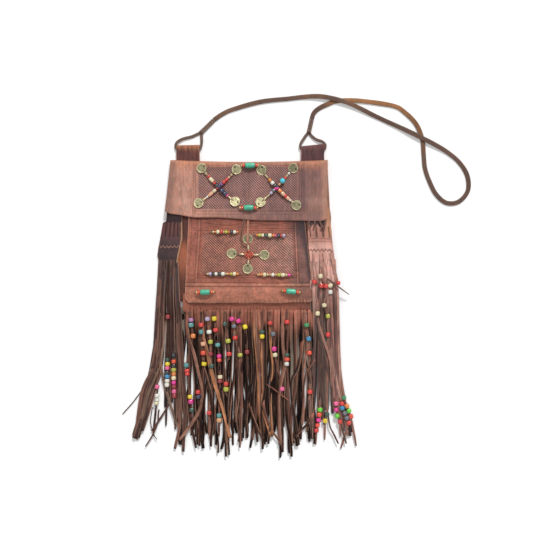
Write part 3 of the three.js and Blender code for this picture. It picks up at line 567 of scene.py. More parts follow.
def strap_end(name, centre, joint, tail_end, tone, node, right_way, left_way):
    """Two legs from the joint round through the tab, and the tail, with its stitches, from there on"""
    shape = Shape()
    through = TAB_REACH - LOOP_RADIUS - STRAP_WIDTH / 2
    right, left = centre + TAB_WIDTH / 2, centre - TAB_WIDTH / 2
    joint, tail_end = np.array(joint, float), np.array(tail_end, float)
    right_leg = [joint, *right_way, (right + 1.6, through + 2.2), (right - 1, through), (centre, through)]
    left_leg = [joint, *left_way, (left - 1.0, through + 2.2), (left + 2, through), (centre + 0.5, through)]
    for leg in (right_leg, left_leg):
        flat = curve_through([(x, y, 0) for x, y in leg], 8)
        flat[:, 2] = 1.9 * (1 - ease(flat[:, 1], TAB_REACH + 1, joint[1] - 4))
        wide = 4.4 - 0.7 * near(flat[:, 1], TAB_REACH - 1, 7)
        ribbon(shape, flat, wide, STRAP_THICK, lit(tone, 0.14 * noise(flat[:, 0], flat[:, 1], 6, 11)))
    t = np.linspace(-0.1, 1.0, 14)[:, None]
    tail = np.hstack([joint + (tail_end - joint) * t, np.zeros((14, 1))])
    ribbon(shape, tail + (0, 0, 0.02), 6.4, STRAP_THICK, tone * 0.92)
    upper = tail[1:-1] + (0, 0, STRAP_THICK)
    ribbon(shape, upper, np.linspace(6.2, 5.2, 12), 1.8, tone * 1.08)
    along = (tail_end - joint) / np.linalg.norm(tail_end - joint)
    aside = np.array([-along[1], along[0]])
    for k in range(STITCH_PAIRS):
        for side in (-1, 1):
            at = joint + (tail_end - joint) * (0.16 + 0.17 * k) + aside * side * 1.9
            ends = [(*(at + along * d), 3.88) for d in (-1.1, 0, 1.1)]
            ribbon(shape, ends, 0.7, 0.35, paint(176, 160, 142))
    return shape.build(name, "dark", [node], "strap_leather")


left_end = strap_end(
    "left_strap_loop", -89, (-70, 142.4), (-51.7, 160.5), paint(104, 88, 78), "left_strap_end",
    [(-69.3, 134), (-69.1, 127.5), (-70, 122)],
    [(-76, 139.8), (-84, 136.3), (-96, 133.2), (-103.6, 129.2), (-106.8, 124.8)],
)
right_end = strap_end(
    "right_strap_loop", 92.5, (87, 142.4), (91.4, 162.5), paint(100, 82, 76), "right_strap_end",
    [(89.5, 139.3), (92.8, 135.6), (98.5, 131.8), (106, 129.2), (110.6, 125)],
    [(83.4, 138.8), (79.4, 133), (75.8, 127.5), (74.6, 123)],
)


# Tooling: pressed cross-hatch, pressed lines and small stamped crescents
def hatch(x, y, pitch, seed):
    """How deep the pressed cross-hatch is, from 0 on a lozenge to 1 in a line"""
    bend = 0.5 * noise(x, y, 26, seed) + 0.22 * noise(x, y, 5, seed + 1)
    u = (x + y) / np.sqrt(2) + bend
    v = (x - y) / np.sqrt(2) - bend
    away = lambda w: np.abs((w / pitch) % 1 - 0.5) * pitch
    return np.maximum(near(away(u), 0, 0.62), 0.55 * near(away(v), 0, 0.45))


def inside(x, y, left, right, low, high, soft=1.0):
    """1 inside the rectangle, 0 outside it"""
    sideways = ease(x, left, left + soft) * (1 - ease(x, right - soft, right))
    return sideways * ease(y, low, low + soft) * (1 - ease(y, high - soft, high))


def pressed(value, places, width=0.55):
    """Narrow pressed lines at these places"""
    return np.maximum.reduce([near(value, place, width) for place in places])


BODY_PALE = paint(190, 140, 122)
BODY_DARK = paint(138, 101, 94)
FLAP_TOOLED = (-73.5, 69.5, 29, 91.5)
FLAP_LINES_DOWN = [-77.5, -80.2, 72.6, 76, 79.6]
FLAP_LINES_ACROSS = [27.6, 25.6]
FLAP_TOP_LINE = [92.6]
STAMPED_STRIP = (-76, 74, 17.5, 26)
STAMP_PITCH, STAMP_RADIUS, STAMP_Y = 3.4, 2.0, 20.2

# Dark smudges on the flap: how dark, x and y of the middle, what distances along x and y are scaled by, size
SMUDGES = [
    (1, 92, 80, 0.8, 1, 13), (0.6, 103, 34, 1, 0.8, 13), (0.5, -82, 45, 1, 1, 15), (0.4, -104, 75, 1, 1, 9),
]


def flap_relief(x, y):
    """Height to add to the flap's face, and its colour"""
    tooled = inside(x, y, *FLAP_TOOLED, 1.4)
    lines = hatch(x, y, 2.65, 21)
    height = -0.6 * lines * tooled
    frame_lines = pressed(x, FLAP_LINES_DOWN) * ease(y, 15, 20)
    cross_lines = pressed(y, FLAP_LINES_ACROSS) * inside(x, y, -82, 82, 0, 200)
    top_line = pressed(y, FLAP_TOP_LINE) * inside(x, y, -80, 80, 0, 200)
    straight = np.maximum(np.maximum(frame_lines, cross_lines), top_line)
    height = height - 0.42 * straight * (1 - tooled)
    arc = np.hypot(((x + 300) % STAMP_PITCH) - STAMP_PITCH / 2, y - STAMP_Y - 0.5 * noise(x, y, 15, 5))
    stamped = near(arc, STAMP_RADIUS, 0.35) * (y > 20) * inside(x, y, *STAMPED_STRIP, 1.5)
    height = height - 0.35 * stamped
    grain = noise(x * 2.2, y * 0.55, 3.2, 8) + 0.6 * noise(x * 2.6, y * 0.6, 1.7, 9)
    hairs = noise(x * 5, y * 0.3, 4, 36)
    height = height + 0.07 * grain * (1 - 0.6 * tooled)
    pucker = noise(x + 0.5 * y, y - 0.4 * x, 21, 31)
    height = height + 0.55 * pucker + 0.25 * noise(x, y * 0.5, 11, 32)
    ridge = near(x - 0.25 * (y - 60), 11, 7) * inside(x, y, -40, 60, 34, 92, 14)
    height = height + 0.9 * ridge
    across = ease(x + 8 * noise(x, y, 40, 6), -95, 30)
    colour = tint(BODY_PALE, BODY_DARK, across)
    kept_top = 1 - 0.5 * inside(x, y, -40, 70, 0, 200, 20)
    # Painted highlight: the top, toward the fold, painted lighter and more orange
    top_highlight = 0.7 * ease(y + 4 * noise(x, y, 25, 35), 80, 100) * kept_top
    colour = tint(colour, paint(202, 134, 100), top_highlight)
    # Painted highlight: the hatched ground is painted lighter along the raised ridge
    hatch_ground = lit(paint(149, 111, 105), 0.28 * ridge)
    colour = tint(colour, hatch_ground, 0.85 * tooled)
    colour = lit(colour, 1.25 * (0.5 - lines) * tooled)
    colour = tint(colour, colour * (0.3, 0.22, 0.25), lines * tooled)
    dark_lines = np.maximum(straight * (1 - tooled), stamped)
    colour = tint(colour, colour * (0.55, 0.46, 0.46), 0.75 * dark_lines)
    blotch = noise(x * 1.6, y * 0.3, 9, 33) + 0.8 * noise(x * 2.4, y * 0.35, 4.5, 34)
    fine = (0.15 * grain + 0.1 * hairs) * (1 - 0.6 * tooled)
    colour = lit(colour, fine, 0.12 * pucker, 0.09 * blotch)
    smudge = sum(
        share * near(np.hypot((x - at_x) * wide, (y - at_y) * high), 0, size)
        for share, at_x, at_y, wide, high, size in SMUDGES
    )
    smudge = clamp(smudge * (0.7 + 0.4 * noise(x, y, 6, 12)))
    colour = tint(colour, colour * (0.58, 0.56, 0.62), 0.75 * smudge)
    # Painted shade: the left edge, where the flap curls down, is painted darker and greyer
    rounded = 1 - ease(x + 0.08 * (90 - y), -112, -101)
    colour = tint(colour, paint(128, 96, 84), 0.7 * rounded)
    # Painted highlight along the lit right edge, and a paler patch in the leather near its lower end
    lit_edge_and_patch = ease(x, 101, 110) + 0.5 * near(x, 97, 11) * near(y, 38, 16)
    colour = tint(colour, paint(190, 142, 120), 0.65 * clamp(lit_edge_and_patch))
    band_dark = near(x, 77, 5) * inside(x, y, 60, 95, 26, 92, 6)
    colour = tint(colour, paint(84, 60, 62), 0.55 * band_dark)
    # Painted highlight: a pale sheen down the left of the flap
    painted_highlight = near(x + 0.1 * y, -88, 5) * inside(x, y, -120, -60, 20, 70, 12)
    colour = tint(colour, paint(214, 176, 160), 0.3 * painted_highlight)
    hem_dark = 1 - ease(y - hem_at(x), 0.2, 2.2)
    colour = tint(colour, colour * (0.6, 0.52, 0.5), 0.6 * hem_dark)
    return height, colour


# Back and flap: one sheet, folded over at the top
LEFT_FLARE, RIGHT_FLARE = 7.5, 1.5
BACK_HALF = ([-116, -104, -89, 0], [95.5, 99.5, 115, POUCH_HALF])


def make_back_and_flap():
    s = np.linspace(-1, 1, 381)[None, :]
    outer, inner, colours = [], [], []
    back_y = np.array([-116, -113, -110, -107, -104, -99, -94, -89, *np.linspace(-80, 0, 17)])[:, None]
    x = POUCH_CENTRE + s * np.interp(back_y, *BACK_HALF)
    y = back_y + 0 * s
    t = np.linspace(0, 1, 18)[1:-1, None]
    x_up = lerp(POUCH_CENTRE + s * POUCH_HALF, s * FLAP_HALF, t)
    y_up = fold_start(s * FLAP_HALF) * t
    x, y = np.vstack([x, x_up]), np.vstack([y, y_up])
    lump = 0.12 * (1 + noise(x, y, 14, 41))
    outer.append(xyz(x, y, lump * 0.5))
    inner.append(xyz(x, y, LEATHER))
    tone = lit(paint(152, 108, 90), 0.12 * noise(x, y, 30, 42), 0.05 * noise(x * 2, y, 4, 43))
    tone = tint(tone, tone * 0.72, 0.7 * ease(np.abs(s), 0.93, 1.0))
    seam = near(np.abs(s) * POUCH_HALF, 111.5, 0.5) * (0.5 + 0.5 * np.sign(np.sin(y * 1.3)))
    colours.append(tint(tone, tone * 0.5, 0.8 * seam))
    turn = np.linspace(-np.pi / 2, np.pi / 2, 18)[:, None]
    x = s * FLAP_HALF
    for radius_change, rows in ((0, outer), (LEATHER, inner)):
        radius = fold_radius(x) - radius_change
        rows.append(xyz(x, fold_start(x) + radius * np.cos(turn), fold_radius(x) + radius * np.sin(turn)))
    h, tone = flap_relief(x, fold_start(x) + fold_radius(x) * np.cos(turn))
    # Painted highlight: the fold, where it turns over, has its own light orange-tan tone, fading into the
    # face's colour
    fold_tone = lit(paint(176, 124, 98), 0.1 * noise(x * 2, turn * 20, 5, 44))
    colours.append(tint(fold_tone, tone, ease(turn, 0.2, 1.5)))
    outer[-1][..., 2] += h * ease(turn, 0.7, 1.5)
    t = np.linspace(0, 1, 143)[1:, None]
    x = s * FLAP_HALF + np.where(s < 0, s * LEFT_FLARE * t, -RIGHT_FLARE * s * t)
    y = lerp(fold_start(x), hem_at(x), t)
    h, tone = flap_relief(x, y)
    lift = 1.3 * ease(t, 0.8, 1.0) * (0.5 + 0.5 * noise(x, y, 33, 45))
    outer.append(xyz(x, y, flap_top(x, y) + h + lift))
    inner.append(xyz(x, y, flap_low(x, y) + lift + np.minimum(h, 0) * 0.3))
    colours.append(tone)
    outer, inner, colours = np.vstack(outer), np.vstack(inner), np.vstack(colours)
    shape = Shape()
    shape.slab(outer[:, ::-1], inner[:, ::-1], colours[:, ::-1], paint(186, 136, 112), paint(150, 112, 96))
    return shape.build("folded_body_leather", "body", ["back_and_flap"], "body_leather")


body = make_back_and_flap()


# Pouch: the filled tray of leather under the flap
def make_pouch():
    rounded_end = POUCH_BOTTOM + POUCH_CORNER
    corner_y = np.linspace(POUCH_BOTTOM, rounded_end, 15)
    y = np.concatenate([corner_y, np.linspace(rounded_end + 1, MOUTH, 118)])[:, None]
    waist = lerp(POUCH_HALF, POUCH_HALF - 2, clamp((MOUTH - y) / 190))
    above = clamp(y - POUCH_BOTTOM, 0, POUCH_CORNER)
    half = waist - (POUCH_CORNER - np.sqrt(POUCH_CORNER**2 - (POUCH_CORNER - above) ** 2))
    s = np.linspace(-1, 1, 133)[None, :]
    x = POUCH_CENTRE + s * (half - 6 * ease(y, 15, 58) * (s > 0))
    h = 0.5 * noise(x, y, 19, 51) + 0.16 * noise(x * 2, y, 4, 52)
    round_off = 1.8 * ease(np.abs(s), 0.975, 1.0) + 1.6 * (1 - ease(y, POUCH_BOTTOM, -99.5))
    z = pouch_top(x, y) + h * (1 - ease(np.abs(s), 0.9, 1)) - round_off
    drop = np.linspace(1, 0, 13)[:-1][None, :]
    side_z = lambda edge: POUCH_FLOOR + (z[:, edge][:, None] - POUCH_FLOOR) * (1 - drop)
    bulge = 0.9 * np.sin(np.pi * drop)
    left = xyz(x[:, :1] - bulge, y, side_z(0))
    right = xyz(x[:, -1:] + bulge, y, side_z(-1))[:, ::-1]
    top = np.concatenate([left, xyz(x, y, z), right], 1)
    px, py = top[..., 0], top[..., 1]
    rust = lit(paint(168, 102, 76), 0.2 * noise(px, py, 24, 53), 0.07 * noise(px * 2, py, 5, 54))
    low = ease(-py + 5 * noise(px, py, 18, 55), 38, 82)
    dark = lit(paint(84, 55, 50), -0.45 * hatch(px, py, 4.2, 56) * low)
    colour = tint(rust, dark, 0.85 * low)
    shaded = ease(py + 4 * noise(px, py, 12, 57), -30, -10) * (1 - ease(px, 108, 112))
    colour = tint(colour, paint(188, 136, 104), 0.85 * ease(px, 109, 113) * ease(py, -30, -10))
    colour = tint(colour, paint(60, 40, 43), 0.85 * shaded)
    side = ease(2.6 - (top[..., 2] - POUCH_FLOOR) / 3.2, 0, 1.6)
    colour = tint(colour, paint(104, 68, 58), 0.6 * side)
    stitch = side * near(top[..., 2], 5.5, 1.1) * (0.5 + 0.5 * np.sign(np.sin(py * 1.6)))
    colour = tint(colour, paint(60, 42, 36), 0.6 * stitch)
    shape = Shape()
    shape.grid(top, colour)
    half_way = top[0] * (1, 1, 0.5) + (0, -0.7, POUCH_FLOOR / 2)
    wall = np.stack([top[0], half_way, top[0] * (1, 1, 0) + (0, 0, POUCH_FLOOR)])
    shape.grid(wall, paint(110, 72, 60), flip=True)
    inner_x = POUCH_CENTRE + (x[:, ::4] - POUCH_CENTRE) * 0.985
    inner_y = np.maximum(y, POUCH_BOTTOM + POUCH_LEATHER)
    inner = xyz(inner_x, inner_y, pouch_top(inner_x, inner_y) - POUCH_LEATHER)
    shape.grid(inner[::3], paint(126, 88, 72), flip=True)
    rim = np.stack([top[-1, 12:-12][::4], inner[-1]])
    shape.grid(rim, paint(170, 120, 96), flip=True)
    return shape.build("pouch_shell", "pouch", ["pouch"], "pouch_leather")


pouch = make_pouch()


# Front panel, tooled, with a laced lip at the bottom
PANEL_TOP, PANEL_BOTTOM, PANEL_CORNER = 32.0, -104.5, 9.0
PANEL_TOP_HALF, PANEL_BOTTOM_HALF = 82.0, 93.5


def panel_share(y):
    return (PANEL_TOP - y) / (PANEL_TOP - PANEL_BOTTOM)


def panel_half(y):
    above = clamp(y - PANEL_BOTTOM, 0, PANEL_CORNER)
    rounded = PANEL_CORNER - np.sqrt(PANEL_CORNER**2 - (PANEL_CORNER - above) ** 2)
    return lerp(PANEL_TOP_HALF, PANEL_BOTTOM_HALF, panel_share(y)) - rounded


def panel_centre(y):
    return lerp(-4, 0.6, panel_share(y))


def edge_shadow(x, y):
    """1 on the panel's right edge, in the shade beside the tassel"""
    inward = panel_centre(y) + panel_half(y) - x
    wide = lerp(7, 17, ease(y, -34, -6))
    return (1 - ease(inward, 2.5, wide)) * ease(y, -82, -62)


def panel_relief(x, y):
    """Height to add to the panel's face, and its colour"""
    t = clamp((-4 - y) / 59)
    left, right = lerp(-66, -70.5, t), lerp(62.5, 65.5, t)
    tooled = inside(x, y, left, right, -62.8, -4.8, 1.4)
    lines = hatch(x, y, 2.7, 61)
    height = -0.5 * lines * tooled
    down = pressed(x, [left - 3.2], 0.6) + pressed(x, [left - 7.4], 0.6) + pressed(x, [right + 3], 0.6)
    down = clamp(down + pressed(x, [right + 6.6], 0.6) + pressed(x, [left - 16.5], 0.5)) * ease(y, -78, -75)
    over = pressed(y + 0.01 * x, [-1.6, 1.6]) * ease(x, -84, -80) * (1 - ease(x, 74, 78))
    below = pressed(y, [-66.4, -69.6], 0.6) * ease(x, -78, -76) * (1 - ease(x, 72, 74))
    belt = pressed(y + 1.2 * ripple(x, 60, 62), [-77, -82.4], 0.7)
    slanted = near(y - 3 - 0.1 * np.abs(x + 2), 0, 0.6) + near(y - 9 + 0.09 * np.abs(x - 3), 0, 0.6)
    slanted = clamp(slanted) * inside(x, y, -62, 60, 0, 14, 4)
    straight = np.maximum.reduce([down * (1 - tooled), over, below, belt, slanted])
    height = height - 0.5 * straight
    roll = near(y, -79.7, 2.2)
    height = height + 0.5 * roll
    grain = noise(x * 0.7, y * 1.6, 3, 63) + 0.6 * noise(x, y * 1.6, 1.6, 64)
    pucker = noise(x - 0.3 * y, y, 23, 65)
    height = height + 0.06 * grain + 0.5 * pucker
    colour = tint(paint(152, 92, 77), paint(166, 102, 82), 0.5 + 0.5 * noise(x, y, 34, 66))
    plum = ease(x + 6 * noise(x, y, 22, 67), 46, 76)
    plum_tone = tint(paint(112, 82, 77), paint(66, 48, 50), ease(y, -16, 8))
    colour = tint(colour, plum_tone, 0.88 * plum)
    colour = tint(colour, paint(182, 120, 98), 0.8 * (1 - ease(y, -86, -76)) * (1 - 0.6 * plum))
    hatch_ground = tint(paint(171, 119, 102), paint(178, 136, 122), ease(x, -40, 60))
    colour = tint(colour, hatch_ground, 0.8 * tooled)
    colour = lit(colour, 1.25 * (0.5 - lines) * tooled)
    colour = tint(colour, colour * (0.28, 0.2, 0.21), lines * tooled)
    colour = tint(colour, colour * (0.5, 0.4, 0.38), 0.75 * straight)
    # Painted highlight: the raised crests beside the frame lines, and the roll above the lip, painted pale
    crest_highlight = pressed(x, [left - 5.3, right + 4.8], 0.8) * ease(y, -78, -75) * (1 - ease(y, 8, 14)) + roll
    colour = tint(colour, paint(206, 146, 120), 0.5 * clamp(crest_highlight) * (1 - straight))
    blotch = noise(x * 0.8, y * 1.2, 8, 68) + 0.8 * noise(x * 1.3, y * 1.6, 4, 69)
    colour = lit(colour, 0.17 * grain, 0.13 * pucker, 0.16 * blotch)
    colour = tint(colour, paint(58, 43, 47), 0.85 * edge_shadow(x, y))
    shade = 0.5 * ease(y, 0, 14) + 0.45 * ease(y - hem_at(x), -4.5, -1.5)
    shade = clamp(shade + 0.4 * ease(x, 44, 74) * ease(y, -20, -2))
    colour = tint(colour, colour * (0.4, 0.32, 0.34), shade)
    return height, colour


LACING_PITCH = 4.6


def make_panel():
    corner_y = PANEL_BOTTOM + PANEL_CORNER * (np.linspace(0, 1, 16) ** 1.6)
    y = np.concatenate([corner_y, np.linspace(-94.9, PANEL_TOP, 213)])[:, None]
    s = np.linspace(-1, 1, 317)[None, :]
    x = panel_centre(y) + panel_half(y) * s
    lip = 1 - ease(y, -103.5, -97)
    wave = 0.5 * np.sin(2 * np.pi * x / LACING_PITCH + 2 * ripple(x, 20, 71)) + 1.1 * ripple(x, 17, 72)
    y_out = y - lip * (0.5 + wave * 0.9)
    h, colour = panel_relief(x, y_out)
    curl = lip * (0.7 + 0.5 * ripple(x, 12, 73) + 0.3 * np.sin(2 * np.pi * x / LACING_PITCH))
    side_curl = 0.5 * ease(np.abs(s), 0.975, 1)
    top = xyz(x, y_out, panel_top(x, y) + h * (1 - 0.7 * lip) + curl + side_curl)
    under = xyz(x, y_out, panel_low(x, y) + curl * 0.6)
    pale = paint(205, 156, 132)
    cut = clamp(ease(np.abs(s), 0.988, 1) + 0.7 * (1 - ease(y, -104.3, -102.5)))
    colour = tint(colour, pale, 0.75 * cut * (1 - 0.8 * edge_shadow(x, y_out)))
    shape = Shape()
    shape.slab(top, under, colour, pale, paint(150, 108, 90))
    piece = shape.build("tooled_front_panel", "body", ["front_panel"], "panel_leather")
    lacing = Shape()
    rng = np.random.default_rng(74)
    for x in np.arange(-80, 82, LACING_PITCH):
        x = x + rng.uniform(-0.4, 0.4)
        z = float(panel_top(x, -100.0))
        line = [
            (x - 0.5, -100.8, z + 0.5), (x, -102.8, z + 1.3),
            (x + 0.5, -104.6, z + 1.1), (x + 0.8, -105.7, z - 0.6),
        ]
        tone = paint(184, 130, 106) * rng.uniform(0.75, 1.1)
        ribbon(lacing, curve_through(line, 4), rng.uniform(1.1, 1.6), 0.5, tone)
    return piece, lacing.build("panel_lacing", "lace", (), "panel_leather")


panel, panel_lacing = make_panel()

# Colours of the fringe's strips, from shaded to sunlit
STRIP_TONES = [paint(*rgb) for rgb in (
    (29, 20, 21), (40, 28, 28), (55, 37, 34), (74, 49, 44), (72, 52, 52),
    (108, 74, 65), (140, 100, 87), (176, 122, 88), (146, 136, 122),
)]
# Pale tone of a strip's split side, also laid in wide strips in the tassels' gaps: there it is painted
# shade, standing in for the shaded floor
SPLIT_SIDE_SHADE = STRIP_TONES[8]
TONE_SHARE = np.array([0.28, 0.24, 0.18, 0.08, 0.07, 0.06, 0.05, 0.01, 0.03])
STRIP_THICK = 1.3

# How pale a strip's edge is at the left and at the right: pale is its cut edge with a painted highlight, and
# the less pale, the darker it is painted, as painted shade
EDGES = [(0.1, 0.1), (0.8, 0), (0, 0.8), (0.5, 0.3), (0, 0.45)]
NO_EDGE = (0, 0)


def fall(root, tip, rng, sway=4.4, steps=34):
    """The line of a strip in plan, swaying more toward its tip"""
    t = np.linspace(0, 1, steps)
    lean = sway * np.sin(np.pi * rng.uniform(0.8, 2.2) * t + rng.uniform(0, 6.28)) * t
    lean = lean + 0.4 * sway * np.sin(np.pi * rng.uniform(3, 6) * t + rng.uniform(0, 6.28)) * t
    return lerp(root[0], tip[0], t**1.15) + lean, lerp(root[1], tip[1], t)


def drawn(points):
    """The line of a strip in plan through chosen points"""
    return curve_through([(*p, 0) for p in points], 8).T[:2]


def strip(shape, plan, low, layer, width, tones, rng, twist=0.75, rim=None, reach=0.3, hold=0.04):
    """One cut strip lying on low, curling a little and showing its edges where it turns: a pale edge is its
    cut edge with a painted highlight, a dark one painted shade
    """
    x, y = plan
    t = np.linspace(0, 1, len(x))
    roll = twist * np.sin(2 * np.pi * rng.uniform(0.5, 1.6) * t + rng.uniform(0, 6.28)) * ease(t, 0.03, 0.25)
    wide = width * (1 - 0.08 * t) * (1 - 0.15 * ease(t, 0.97, 1.0))
    wide = wide * (1 + 0.1 * np.sin(9 * t + rng.uniform(0, 6)))
    hump = 0.9 * (0.5 + 0.5 * np.sin(2 * np.pi * rng.uniform(0.7, 2) * t + rng.uniform(0, 6)))
    z = low(x, y) + layer * ease(t, 0, 0.12) + hump * ease(t, 0.05, 0.25) + 0.5 * wide * np.abs(np.sin(roll))
    first, rest = tones
    colour = tint(first, rest, ease(t, hold, rng.uniform(0.12, reach)))
    seed = int(rng.integers(1, 9999))
    colour = lit(colour, 0.38 * noise(y, x * 3, 24, seed), 0.22 * noise(y, x * 3, 7, seed + 1))
    edge = EDGES[rng.integers(len(EDGES))] if rim is None else rim
    ribbon(shape, xyz(x, y, z), wide, STRIP_THICK, colour, roll, edge, rng.uniform(-0.4, 0.4))


def clump(x, seed):
    """How far strips lean together toward their tips"""
    return 7 * ripple(x, 19, seed) + 4.5 * ripple(x, 8, seed + 1)


# Front fringe: a band pressed with fine lines, slit into strips
BAND_TONE = paint(168, 108, 91)
BAND_HALF = 95.5
FRINGE_BAND = (-118.4, -92.4)
FRINGE_ROOT, FRINGE_TIP = -115.5, -314.0

# Strips that stand out in the photo: the width, tone, height in the heap and points in plan of each
DRAWN_STRIPS = [
    (4.6, 6, 3.4, (-90, -116), (-89, -150), (-80, -178), (-74, -206), (-68, -236), (-72, -261), (-88, -288),
     (-101, -305)),
    (2.8, 5, 3.0, (-74, -116), (-71, -150), (-66.7, -190), (-60.5, -214), (-54, -238), (-50, -262),
     (-49, -292)),
    (5.6, 7, 3.6, (-70, -116), (-66.7, -152), (-60.9, -174), (-55, -203), (-46.4, -235), (-38, -262),
     (-27.5, -302)),
    (3.6, 5, 2.6, (-13, -116), (-12, -160), (-11, -200), (-11.4, -236), (-11, -265), (-13, -316)),
    (3.6, 7, 3.0, (6, -116), (8, -150), (11.2, -197), (13.6, -232), (15, -262), (20, -312)),
    (3.3, 7, 2.4, (14, -116), (16, -150), (18.7, -193), (20.3, -232), (19, -258), (31, -300)),
    (4.6, 7, 2.6, (30, -116), (31, -150), (33.3, -180.5), (34.5, -205.6), (31, -240), (34, -300)),
    (5.2, 6, 3.4, (50.3, -116), (47.9, -143), (48.7, -168), (52, -193), (48.7, -210), (44, -240), (44, -270),
     (45, -312)),
    (4.0, 6, 3.0, (80.3, -130), (83.7, -159.5), (82.7, -184), (78.3, -209.7), (79, -246), (77, -284)),
    (4.4, 1, 3.6, (79, -150), (72, -197), (62.8, -217.5), (62, -242), (66, -270), (72, -312)),
    (2.8, 5, 3.8, (97.7, -184.7), (90, -197), (83.7, -205.6), (79.5, -226), (79, -250)),
    (4.2, 3, 3.2, (96, -261), (88, -275), (82, -284), (74, -292), (68, -300)),
    (3.6, 5, 3.2, (0, -250), (6, -270), (16, -296), (21, -302)),
    (3.6, 5, 3.4, (20, -240), (22, -262), (30, -284), (40, -300), (47, -306)),
]


def make_front_fringe():
    rng = np.random.default_rng(81)
    shape = Shape()
    roots = -92.6 + np.cumsum(rng.uniform(4.2, 5.5, 39))
    roots = roots[roots < 93]
    gaps = (roots[:-1] + roots[1:]) / 2
    y = np.linspace(*FRINGE_BAND, 53)[:, None]
    s = np.linspace(-1, 1, 301)[None, :]
    x = s * BAND_HALF + 0.5 * ripple(y, 8, 82) * np.abs(s) ** 8
    ribs = 0.5 + 0.5 * np.sin(2 * np.pi * (y + 0.3 * noise(x, y, 30, 83)) / 1.5)
    away = np.abs(x[..., None] - gaps).min(-1)
    slits = near(away, 0, 0.6) * (1 - ease(y + 2.6 * ripple(x, 5, 84), -116.5, -111.5))
    z = fringe_top(x, y) + 0.12 * ribs * ease(y, -115, -111) - 0.9 * slits + 0.35 * noise(x, y, 14, 85)
    tone = lit(BAND_TONE, 0.16 * noise(x, y, 22, 86), 0.14 * (ribs - 0.5) * ease(y, -116, -112))
    tone = tint(tone, paint(124, 84, 76), 0.6 * ease(x, 55, 90))
    # Painted shade: the slits between the strips' roots are painted dark
    tone = tint(tone, tone * 0.25, 0.95 * slits)
    fibres = noise(x * 3, y * 0.4, 2.4, 87) * (1 - ease(y, -118, -108))
    tone = lit(tone, 0.22 * fibres)
    shape.slab(xyz(x, y, z), xyz(x, y, fringe_low(x, y)), tone, BAND_TONE, BAND_TONE * 0.8)
    low = lambda px, py: fringe_low(px, py) + 0.1
    for k, x0 in enumerate(roots):
        tip_x = x0 + float(clump(np.array(x0), 88)) + rng.uniform(-2.5, 2.5)
        tip_y = FRINGE_TIP + 7 * np.sin(0.37 * k + 1) + rng.uniform(-11, 11)
        tone = STRIP_TONES[rng.choice(len(STRIP_TONES), p=TONE_SHARE)] * rng.uniform(0.42, 0.92)
        root_tone = BAND_TONE * rng.uniform(0.86, 1.18) * lerp(0.72, 1, ease(x0, -60, -20))
        plan = fall((x0, FRINGE_ROOT), (tip_x, tip_y), rng)
        strip(shape, plan, low, rng.uniform(0, 2.4), rng.uniform(3.6, 5.2), (root_tone, tone), rng)
    for width, tone, layer, *points in DRAWN_STRIPS:
        tones = (BAND_TONE * rng.uniform(0.8, 1.05), STRIP_TONES[tone])
        strip(shape, drawn(points), low, layer, width, tones, rng, 0.6, (0.7, 0.15))
    stray = drawn([(22.5, -222), (34, -229), (46, -238), (57.7, -247)])
    strip(shape, stray, low, 5.6, 1.5, (paint(120, 72, 62), paint(168, 106, 92)), rng, 0.2)
    shape.build("front_fringe_leather", "suede", ["front_fringe"], "fringe_leather")


make_front_fringe()


UNDER_PITCH, UNDER_TIP = 3.5, -292.0


def make_under_fringe():
    """The layer under the front fringe, painted darker as painted shade: its strips fill the gaps between
    the ones above
    """
    rng = np.random.default_rng(91)
    shape = Shape()
    y = np.linspace(BAND_LOW, -105, 13)[:, None]
    x = np.linspace(-95, 95, 97)[None, :]
    tone = lit(paint(62, 44, 40), 0.1 * noise(x, y, 9, 92))
    top = xyz(x, y, under_low(y) + FRINGE)
    shape.slab(top, xyz(x, y, under_low(y)), tone, paint(80, 56, 50), paint(70, 50, 46))
    low = lambda px, py: under_low(py) + 0.02
    for k, x0 in enumerate(np.arange(-BAND_HALF, 96, UNDER_PITCH)):
        x0 = x0 + rng.uniform(-1, 1)
        tip_y = UNDER_TIP + 9 * np.sin(0.5 * k) + rng.uniform(-14, 10)
        tip_x = x0 * 1.01 + 0.5 * float(clump(np.array(x0), 93)) + rng.uniform(-3, 3)
        # Painted shade: the under strips take the darkest tones, darkened further
        tone = STRIP_TONES[rng.choice(5, p=[0.4, 0.3, 0.16, 0.08, 0.06])] * rng.uniform(0.45, 0.8)
        plan = fall((x0, -119), (tip_x, tip_y), rng)
        strip(shape, plan, low, rng.uniform(0, 1.0), rng.uniform(3.8, 5.4), (tone * 0.7, tone), rng, 0.35)
    shape.build("under_fringe_leather", "suede", ["under_fringe"], "fringe_leather")


make_under_fringe()


# Tassels: a slotted neck, a laced line, then strips that fall over the pouch to the ground
def zigzag(shape, left, right, y, surface, tone, seed):
    """A thin lace that runs up and down in small waves, through holes in the leather"""
    x = np.linspace(left, right, 90)
    wave = 1.5 * np.sin(2 * np.pi * (x - left) / 5.6 + 0.6 * ripple(x, 9, seed))
    height = surface(x, y) - 0.3 + 1.1 * np.abs(np.cos(np.pi * (x - left) / 5.6))
    line = xyz(x, y + wave + 0.7 * ripple(x, 14, seed + 1), height)
    ribbon(shape, line, 1.3, 0.6, lit(tone, 0.2 * ripple(x, 4, seed + 2)))


NECK_TOP = 32.0
TASSEL_STRIPS = 21
WAIST = -195.0


